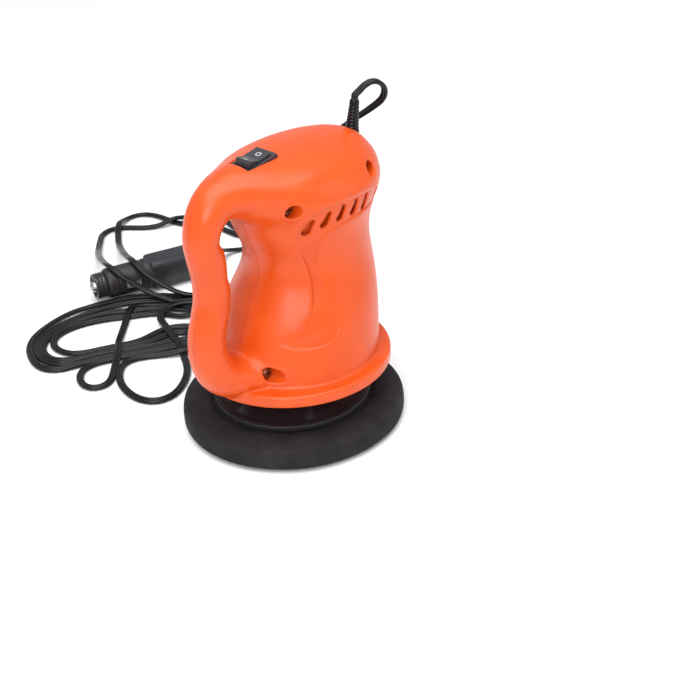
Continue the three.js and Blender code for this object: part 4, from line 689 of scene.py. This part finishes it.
def flex(name, route, half_w=1.0, r=1.3, step=1.5, seg=11):
    """Twin flex: two insulated cores side by side, lying flat on what they rest on."""
    P = resample(catmull(route, 4), step)
    T = np.gradient(P, axis=0); T /= np.linalg.norm(T, axis=1)[:, None]
    s = np.arange(len(P)) * step
    side = np.zeros_like(P)
    v = np.array([0.0, 1.0, 0.0]); v -= T[0] * (v @ T[0]); v /= np.linalg.norm(v)
    for i, t in enumerate(T):
        v = v - t * (v @ t); v /= np.linalg.norm(v)
        flat = np.cross(t, (0, 0, 1)); m = np.linalg.norm(flat)
        if m > 0.3:
            flat = flat / m * (1 if flat @ v > 0 else -1)
            v = v + 0.25 * (m - 0.3) * flat
            v = v - t * (v @ t); v /= np.linalg.norm(v)
        side[i] = v
    up = np.cross(side, T)
    roll = 0.22 * np.sin(s / 41.0) + 0.14 * np.sin(s / 17.3 + 1.0)
    roll *= sstep(0, 60, s) * sstep(0, 25, s[-1] - s)
    side, up = side * np.cos(roll)[:, None] + up * np.sin(roll)[:, None], up * np.cos(roll)[:, None] - side * np.sin(roll)[:, None]
    cut = math.acos(min(1.0, half_w / r)) if half_w < r else 0.0
    ang = np.linspace(-(math.pi - cut), math.pi - cut, seg)
    ring = [(half_w + r * math.cos(a), r * math.sin(a)) for a in ang]
    ring += [(-x, -y) for x, y in ring[1:-1]]
    # the two lobes meet where their circles cross, in a shallow groove
    ring = [(x, y) for x, y in ring]
    k = len(ring)
    V = (P[:, None, :] + side[:, None, :] * np.array([q[0] for q in ring])[None, :, None] + up[:, None, :] * np.array([q[1] for q in ring])[None, :, None]).reshape(-1, 3)
    n = len(P)
    V[:, 2] = np.where(V[:, 2] < 0.05, 0.05, V[:, 2])
    i, j = np.meshgrid(np.arange(n - 1), np.arange(k), indexing="ij")
    F = np.stack([i * k + j, i * k + (j + 1) % k, (i + 1) * k + (j + 1) % k, (i + 1) * k + j], -1).reshape(-1, 4)
    faces = [tuple(f) for f in F.tolist()] + [tuple(range(k))[::-1], tuple(range((n - 1) * k, n * k))]
    ob = mesh_object(name, V, faces)
    bm = bmesh.new(); bm.from_mesh(ob.data)
    bmesh.ops.recalc_face_normals(bm, faces=bm.faces[:]); bm.to_mesh(ob.data); bm.free()
    return ob, P


cord, cord_line = flex("cord_flex", ROUTE)
put(cord, "housing", "black_pvc", "cord", "cord_plug_end", "cord_hank", "cord_loops", smooth=50)



# ------------------------------------------------------------- turned pieces
def lathe(name, prof, seg=96, warp=None, closed=True):
    """Turns a profile of (r, z) about Z. The profile starts and ends on the axis, or closes on itself."""
    V, F = [], []
    n = len(prof)
    for k in range(seg):
        a = 2 * math.pi * k / seg
        for i, (r, z) in enumerate(prof):
            if warp:
                r, z = warp(r, z, a)
            V.append((r * math.cos(a), r * math.sin(a), z))
    on_axis = prof[0][0] < 1e-6 and prof[-1][0] < 1e-6
    for k in range(seg):
        k2 = (k + 1) % seg
        for i in range(n - 1 if on_axis else n):
            i2 = (i + 1) % n
            F.append((k * n + i, k2 * n + i, k2 * n + i2, k * n + i2))
    ob = mesh_object(name, V, F)
    bm = bmesh.new(); bm.from_mesh(ob.data)
    bmesh.ops.remove_doubles(bm, verts=bm.verts[:], dist=1e-7)
    bmesh.ops.dissolve_degenerate(bm, edges=bm.edges[:], dist=1e-8)
    bmesh.ops.recalc_face_normals(bm, faces=bm.faces[:])
    bm.to_mesh(ob.data); bm.free()
    ob.data.shade_smooth()
    return ob


def rounded(prof, rad, n=5):
    """A profile with its corners rounded; rad is one radius, or one for each corner."""
    out = []
    P = [np.array(p, float) for p in prof]
    for i, p in enumerate(P):
        r = rad[i] if isinstance(rad, (list, tuple)) else rad
        if i in (0, len(P) - 1) or r <= 0:
            out.append(tuple(p)); continue
        a, b = P[i - 1] - p, P[i + 1] - p
        la, lb = np.linalg.norm(a), np.linalg.norm(b)
        d = min(r, la * 0.48, lb * 0.48)
        a, b = p + a / la * d, p + b / lb * d
        for t in np.linspace(0, 1, n):
            out.append(tuple((1 - t)**2 * a + 2 * t * (1 - t) * p + t * t * b))
    return out


def place(ob, matrix):
    ob.data.transform(matrix)
    return ob


def along(point, direction):
    """Turns +Z onto a direction and moves the foot to a point, mm."""
    return Matrix.Translation(Vector(point) * MM) @ Vector((0, 0, 1)).rotation_difference(Vector(direction)).to_matrix().to_4x4()


# foam pad
ph = rng.uniform(0, 6.28, 8)
def pad_warp(r, z, a):
    if r > 40:
        w = sum(math.sin((3 + 2 * i) * a + ph[i]) / (1 + i) for i in range(6))
        r = r + 0.16 * w * (r - 40) / 22.5
        if z > 8:
            z = z + 0.12 * math.sin(5 * a + ph[6]) * (r - 40) / 22.5
    return r, z
pad_prof = rounded([(0, 0.0), (58.6, 0.0), (62.5, 2.6), (62.45, 9.5), (61.2, 13.4), (57.0, 14.0), (46.5, 13.95), (45.2, 13.2), (0, 13.2)],
                   [0, 2.5, 2.5, 3.0, 2.4, 2.0, 0.5, 0.5, 0], 7)
fine_prof = []
for a_, b_ in zip(pad_prof, pad_prof[1:]):
    k_ = max(1, int(math.hypot(b_[0] - a_[0], b_[1] - a_[1]) / 3.0))
    fine_prof += [(a_[0] + (b_[0] - a_[0]) * t / k_, a_[1] + (b_[1] - a_[1]) * t / k_) for t in range(k_)]
fine_prof.append(pad_prof[-1])
pad = place(lathe("foam_disc", fine_prof, 180, pad_warp), Matrix.Translation((-3 * MM, 0, 0)))
put(pad, "pad", "black_foam", "foam_pad")

# backing plate: a dished disc with ribs round its hub
def plate_warp(r, z, a):
    rib = max(0.0, math.cos(a * 6)) ** 14
    if 17.5 < r < 41 and z > 17:
        cone = 17.5 + 5.0 * (41 - r) / 17.0
        z = z + rib * 2.1 * sstep(17.5, 20, np.array(r)).item() * sstep(41, 37, np.array(r)).item()
    return r, z
plate_prof = rounded([(0, 14.3), (44, 14.3), (44, 17.4), (41.6, 17.9), (39.5, 17.9), (24, 22.4), (17.2, 24.9), (16.0, 25.4), (15.5, 31.4), (0, 31.4)],
                     [0, 0.5, 0.5, 0.4, 0.6, 1.5, 1.2, 0.6, 0.6, 0], 4)
q_ = []
for a_, b_ in zip(plate_prof, plate_prof[1:]):
    k_ = max(1, int(math.hypot(b_[0] - a_[0], b_[1] - a_[1]) / 2.0))
    q_ += [(a_[0] + (b_[0] - a_[0]) * t / k_, a_[1] + (b_[1] - a_[1]) * t / k_) for t in range(k_)]
q_.append(plate_prof[-1])
plate = place(lathe("plate_disc", q_, 216, plate_warp), Matrix.Translation((-3 * MM, 0, 0)))
put(plate, "pad", "black_matte", "backing_plate", smooth=45)


# ------------------------------------------------------------ strain relief
boot_prof = [(0, -3.4), (4.15, -3.4), (4.15, 0.9), (3.9, 1.5), (3.75, 2.2)]
for i in range(7):
    z0 = 3.2 + i * 1.8
    r0 = 3.7 - 0.075 * (z0 - 3)
    boot_prof += [(r0, z0), (r0 - 0.28, z0 + 0.35), (r0 - 0.3, z0 + 0.75), (r0 - 0.06, z0 + 1.1)]
boot_prof += [(2.65, 16.9), (2.5, 17.7), (2.2, 18.0), (0, 18.0)]
boot = place(lathe("strain_relief", rounded(boot_prof, 0.25, 3), 56), along((56.3, 0, 150), (0.2, 0, 0.98)))
put(boot, "housing", "black_pvc", "cord_boot", smooth=40)

# -------------------------------------------------------------------- plug
PLUG = Matrix.Translation(Vector((7.4, 196.7, 11.0)) * MM) @ Matrix.Rotation(math.radians(-19.4), 4, "Z")
AXIS_X = Matrix.Rotation(math.radians(90), 4, "Y")


def plug_piece(name, prof, slot, nodes, seg=64, rad=0.3, smooth=40):
    ob = place(lathe(name, rounded(prof, rad, 3), seg), PLUG @ AXIS_X)
    return put(ob, "housing", slot, *nodes, smooth=smooth)


def grip_loop(x, hw, hh, c, n=4):
    """A flat-sided section with rounded corners at x."""
    pts = []
    for sx, sy in ((1, 1), (-1, 1), (-1, -1), (1, -1)):
        a0 = {(1, 1): 0, (-1, 1): 90, (-1, -1): 180, (1, -1): 270}[(sx, sy)]
        cx, cy = sx * (hw - c), sy * (hh - c)
        for t in range(n + 1):
            a = math.radians(a0 + 90 * t / n)
            pts.append((x, cx + c * math.cos(a), cy + c * math.sin(a)))
    return pts


def loft(name, loops):
    k = len(loops[0])
    V = [p for l in loops for p in l]
    F = [(i * k + j, i * k + (j + 1) % k, (i + 1) * k + (j + 1) % k, (i + 1) * k + j) for i in range(len(loops) - 1) for j in range(k)]
    F += [tuple(range(k)), tuple(range((len(loops) - 1) * k, len(loops) * k))]
    ob = mesh_object(name, V, F)
    bm = bmesh.new(); bm.from_mesh(ob.data); bmesh.ops.recalc_face_normals(bm, faces=bm.faces[:]); bm.to_mesh(ob.data); bm.free()
    return ob


plug_piece("plug_nose", [(0, 10), (7.9, 10), (9.0, 10.6), (9.9, 12.4), (9.9, 17.0), (9.5, 17.4), (9.5, 18.0), (9.9, 18.4), (9.9, 35.5), (9.5, 36), (9.5, 36.8), (9.9, 37.3), (9.9, 41.5), (0, 41.5)], "black_matte", ())
g_ = [grip_loop(40.6, 8.6, 8.8, 3.0), grip_loop(41.3, 9.4, 9.6, 3.4), grip_loop(42.3, 9.6, 9.8, 3.6), grip_loop(48, 9.6, 9.8, 3.6), grip_loop(74.5, 9.4, 9.5, 3.6), grip_loop(76.2, 8.9, 8.9, 4.0), grip_loop(78.2, 7.6, 7.6, 5.0), grip_loop(80.0, 6.4, 6.4, 6.0)]
grip = place(loft("plug_grip", [[tuple(p) for p in l] for l in g_]), PLUG)
md = grip.modifiers.new("edges", "BEVEL"); md.width = 0.0004; md.segments = 2; md.limit_method = "ANGLE"; md.angle_limit = math.radians(30)
put(grip, "housing", "black_matte", "plug_body", smooth=35)
# sunk oval panel on each broad face
for k_, sgn in (("a", -1), ("b", 1)):
    lp = []
    for dz in (0.0, 0.55):
        for hw_, hx_ in ((5.6, 12.5), (5.1, 12.0)) if dz else ((5.6, 12.5),):
            lp.append([(60.5 + (hx_ - hw_) * (1 if math.cos(t) > 0 else -1) + hw_ * math.cos(t), sgn * (9.35 + dz), hw_ * math.sin(t)) for t in np.linspace(0, 2 * math.pi, 49)[:-1]])
    pn = place(loft("plug_panel_" + k_, lp), PLUG)
    put(pn, "housing", "black_gloss", smooth=40)
plug_piece("plug_ring", [(6.3, 4.4), (7.1, 2.8), (8.2, 2.7), (8.4, 3.2), (8.4, 4.6), (8.0, 5.0), (8.4, 5.4), (8.4, 6.8), (8.0, 7.2), (8.4, 7.6), (8.4, 9.6), (4.3, 9.6), (4.3, 5.3), (6.3, 4.4)][:-1], "black_gloss", ("plug_collar",))
plug_piece("plug_pin", [(0, 0.02), (1.4, 0.15), (2.6, 0.9), (3.5, 2.1), (3.9, 3.6), (3.9, 7.9), (3.1, 8.1), (3.1, 11.4), (0, 11.4)], "bright_steel", ("plug_tip",), rad=0.5)
bp_ = [(0, 80.4), (5.6, 80.4), (5.6, 81.2)]
for i in range(4):
    x_ = 81.5 + i * 1.4
    r_ = 5.2 - 0.42 * i
    bp_ += [(r_, x_), (r_ - 0.8, x_ + 0.3), (r_ - 0.8, x_ + 0.75), (r_ - 0.25, x_ + 1.1)]
bp_ += [(3.1, 87.1), (0, 87.4)]
plug_piece("plug_relief", bp_, "black_pvc", ("plug_boot",), rad=0.15)


# ------------------------------------------------------------ rocker marks
t_ = math.radians(8.9)
def on_switch(x, y, z):
    """Switch frame, tilted with the head, to the part frame; z from the underside of the bezel."""
    return (-17.05 + x * math.cos(t_) - z * math.sin(t_), y, 157.3 + x * math.sin(t_) + z * math.cos(t_))


def over(ob):
    from mathutils.bvhtree import BVHTree
    mw = ob.matrix_world
    return BVHTree.FromPolygons([mw @ v.co for v in ob.data.vertices], [tuple(f.vertices) for f in ob.data.polygons])


def mark(name, tree, outer, hole=None):
    """A thin printed shape on the rocker: outlines in the switch frame, laid down on the rocker's faces."""
    def lay(pts, lift):
        out = []
        for x, y in pts:
            a_, b_ = Vector(on_switch(x, y, 20.0)) * MM, Vector(on_switch(x, y, -20.0)) * MM
            hit = tree.ray_cast(a_, (b_ - a_).normalized())
            if hit[0] is None:
                return None
            q_ = hit[0] + hit[1] * lift * MM
            out.append(tuple(c / MM for c in q_))
        return out
    n = len(outer)
    rings = [lay(outer, 0.05), lay(hole or [(sum(p[0] for p in outer) / n, sum(p[1] for p in outer) / n)] * n, 0.05)]
    low = [lay(outer, -0.1), lay(hole or [(sum(p[0] for p in outer) / n, sum(p[1] for p in outer) / n)] * n, -0.1)]
    if any(r_ is None for r_ in rings + low):
        return None
    V = rings[0] + rings[1] + low[1] + low[0]
    F = []
    for k_ in range(4):
        a_, b_ = k_ * n, ((k_ + 1) % 4) * n
        if hole is None and k_ == 1:
            continue
        F += [(a_ + i, a_ + (i + 1) % n, b_ + (i + 1) % n, b_ + i) for i in range(n)]
    ob = mesh_object(name, V, F, None, False)
    bm = bmesh.new(); bm.from_mesh(ob.data)
    if hole is None:
        bmesh.ops.remove_doubles(bm, verts=bm.verts[:], dist=2e-7)
        bmesh.ops.remove_doubles(bm, verts=bm.verts[:], dist=1e-6)
    bmesh.ops.recalc_face_normals(bm, faces=bm.faces[:]); bm.to_mesh(ob.data); bm.free()
    return ob


if "rocker" in frame["nodes"]:
    tree_ = over(frame["nodes"]["rocker"])
    circle = lambda r_, x_: [(x_ + r_ * math.cos(a_), r_ * math.sin(a_)) for a_ in np.linspace(0, 2 * math.pi, 33)[:-1]]
    bar = lambda x_, hl, hw_: [(x_ + hw_ * math.cos(a_) , (hl - hw_) * (1 if math.sin(a_) > 0 else -1) + hw_ * math.sin(a_)) for a_ in np.linspace(0.001, 2 * math.pi + 0.001, 25)[:-1]]
    for nm_, args_ in (("rocker_mark_off", (circle(1.55, 4.4), circle(1.15, 4.4))), ("rocker_mark_on", (bar(-4.6, 1.6, 0.22),))):
        mk_ = mark(nm_, tree_, *args_)
        if mk_ is not None:
            put(mk_, "rocker_key", "mark_white")

# ----------------------------------------------------------------- housing
H = 0.72
for nm, r_, nd in (("shell_right", True, "housing_right"), ("shell_left", False, "housing_left")):
    ob = housing_half(nm, r_, H)
    put(ob, "housing", "orange_abs", nd)

# small hard pieces keep their CAD shape with broken edges
for nm in ("switch_body", "rocker", "housing_screw_rear", "housing_screw_front", "housing_screw_base"):
    ob = frame["nodes"].get(nm)
    if ob is not None:
        md = ob.modifiers.new("edges", "BEVEL")
        md.width = 0.00035 if nm in ("switch_body", "rocker") else 0.00018
        md.segments = 3
        md.limit_method = "ANGLE"
        md.angle_limit = math.radians(38)
        md.harden_normals = False

# the pocket screws are coloured dark orange-brown: painted shade of the pocket's orange interior, so the heads read as
# the shaded pocket and not as steel
screw_painted_shade = finish("m_screw_painted_shade", (0.20, 0.045, 0.014), (0.12, 0.028, 0.010), (0.30, 0.10, 0.05), 0.50, metal=0.55, big=160, bump=0.12, streak=3.0, wear_and_edge_highlight=0.4, seed=27.0)
for nm in ("housing_screw_rear", "housing_screw_front", "housing_screw_base"):
    if nm in frame["nodes"]:
        frame["nodes"][nm].data.materials.clear()
        frame["nodes"][nm].data.materials.append(screw_painted_shade)

# ---------------------------------------------------------- floor and light
def floor():
    n = 64
    V = [(0, 0, 0)] + [(4.0 * math.cos(2 * math.pi * i / n), 4.0 * math.sin(2 * math.pi * i / n), 0) for i in range(n)]
    F = [(0, 1 + i, 1 + (i + 1) % n) for i in range(n)]
    ob = mesh_object("floor", V, F, None, False, 1.0)
    ob.location = (0.03, 0.1, -0.0003)
    m = finish("m_floor", (0.93, 0.93, 0.935), (0.91, 0.91, 0.915), (0.94, 0.94, 0.94), 0.62, big=3, bump=0.02, spec=0.25, wear_and_edge_highlight=0.0)
    ob.data.materials.clear(); ob.data.materials.append(m)
    return ob


floor()


def area(name, at, to, size, power, color=(1, 1, 1)):
    l = D.lights.new(name, "AREA"); l.shape = "RECTANGLE"; l.size, l.size_y = size; l.energy = power; l.color = color
    o = D.objects.new(name, l); COL.objects.link(o)
    o.location = at
    o.rotation_euler = (Vector(to) - Vector(at)).to_track_quat("-Z", "Y").to_euler()
    return o


area("light_top", (-0.15, -0.10, 1.35), (0.0, 0.05, 0.0), (1.3, 1.3), 19.0)
area("light_key", (-1.15, -0.75, 1.0), (0.0, 0.03, 0.08), (0.8, 0.8), 11.0)
area("light_fill", (0.7, -1.3, 0.7), (0.0, 0.03, 0.08), (1.0, 0.9), 3.0)
w = D.worlds.new("world")
bpy.context.scene.world = w
w.use_nodes = True
bg = w.node_tree.nodes.get("Background") or w.node_tree.nodes.new("ShaderNodeBackground")
bg.inputs["Color"].default_value = (0.95, 0.97, 1.0, 1)
bg.inputs["Strength"].default_value = 0.58
bpy.context.scene.view_settings.view_transform = "Standard"
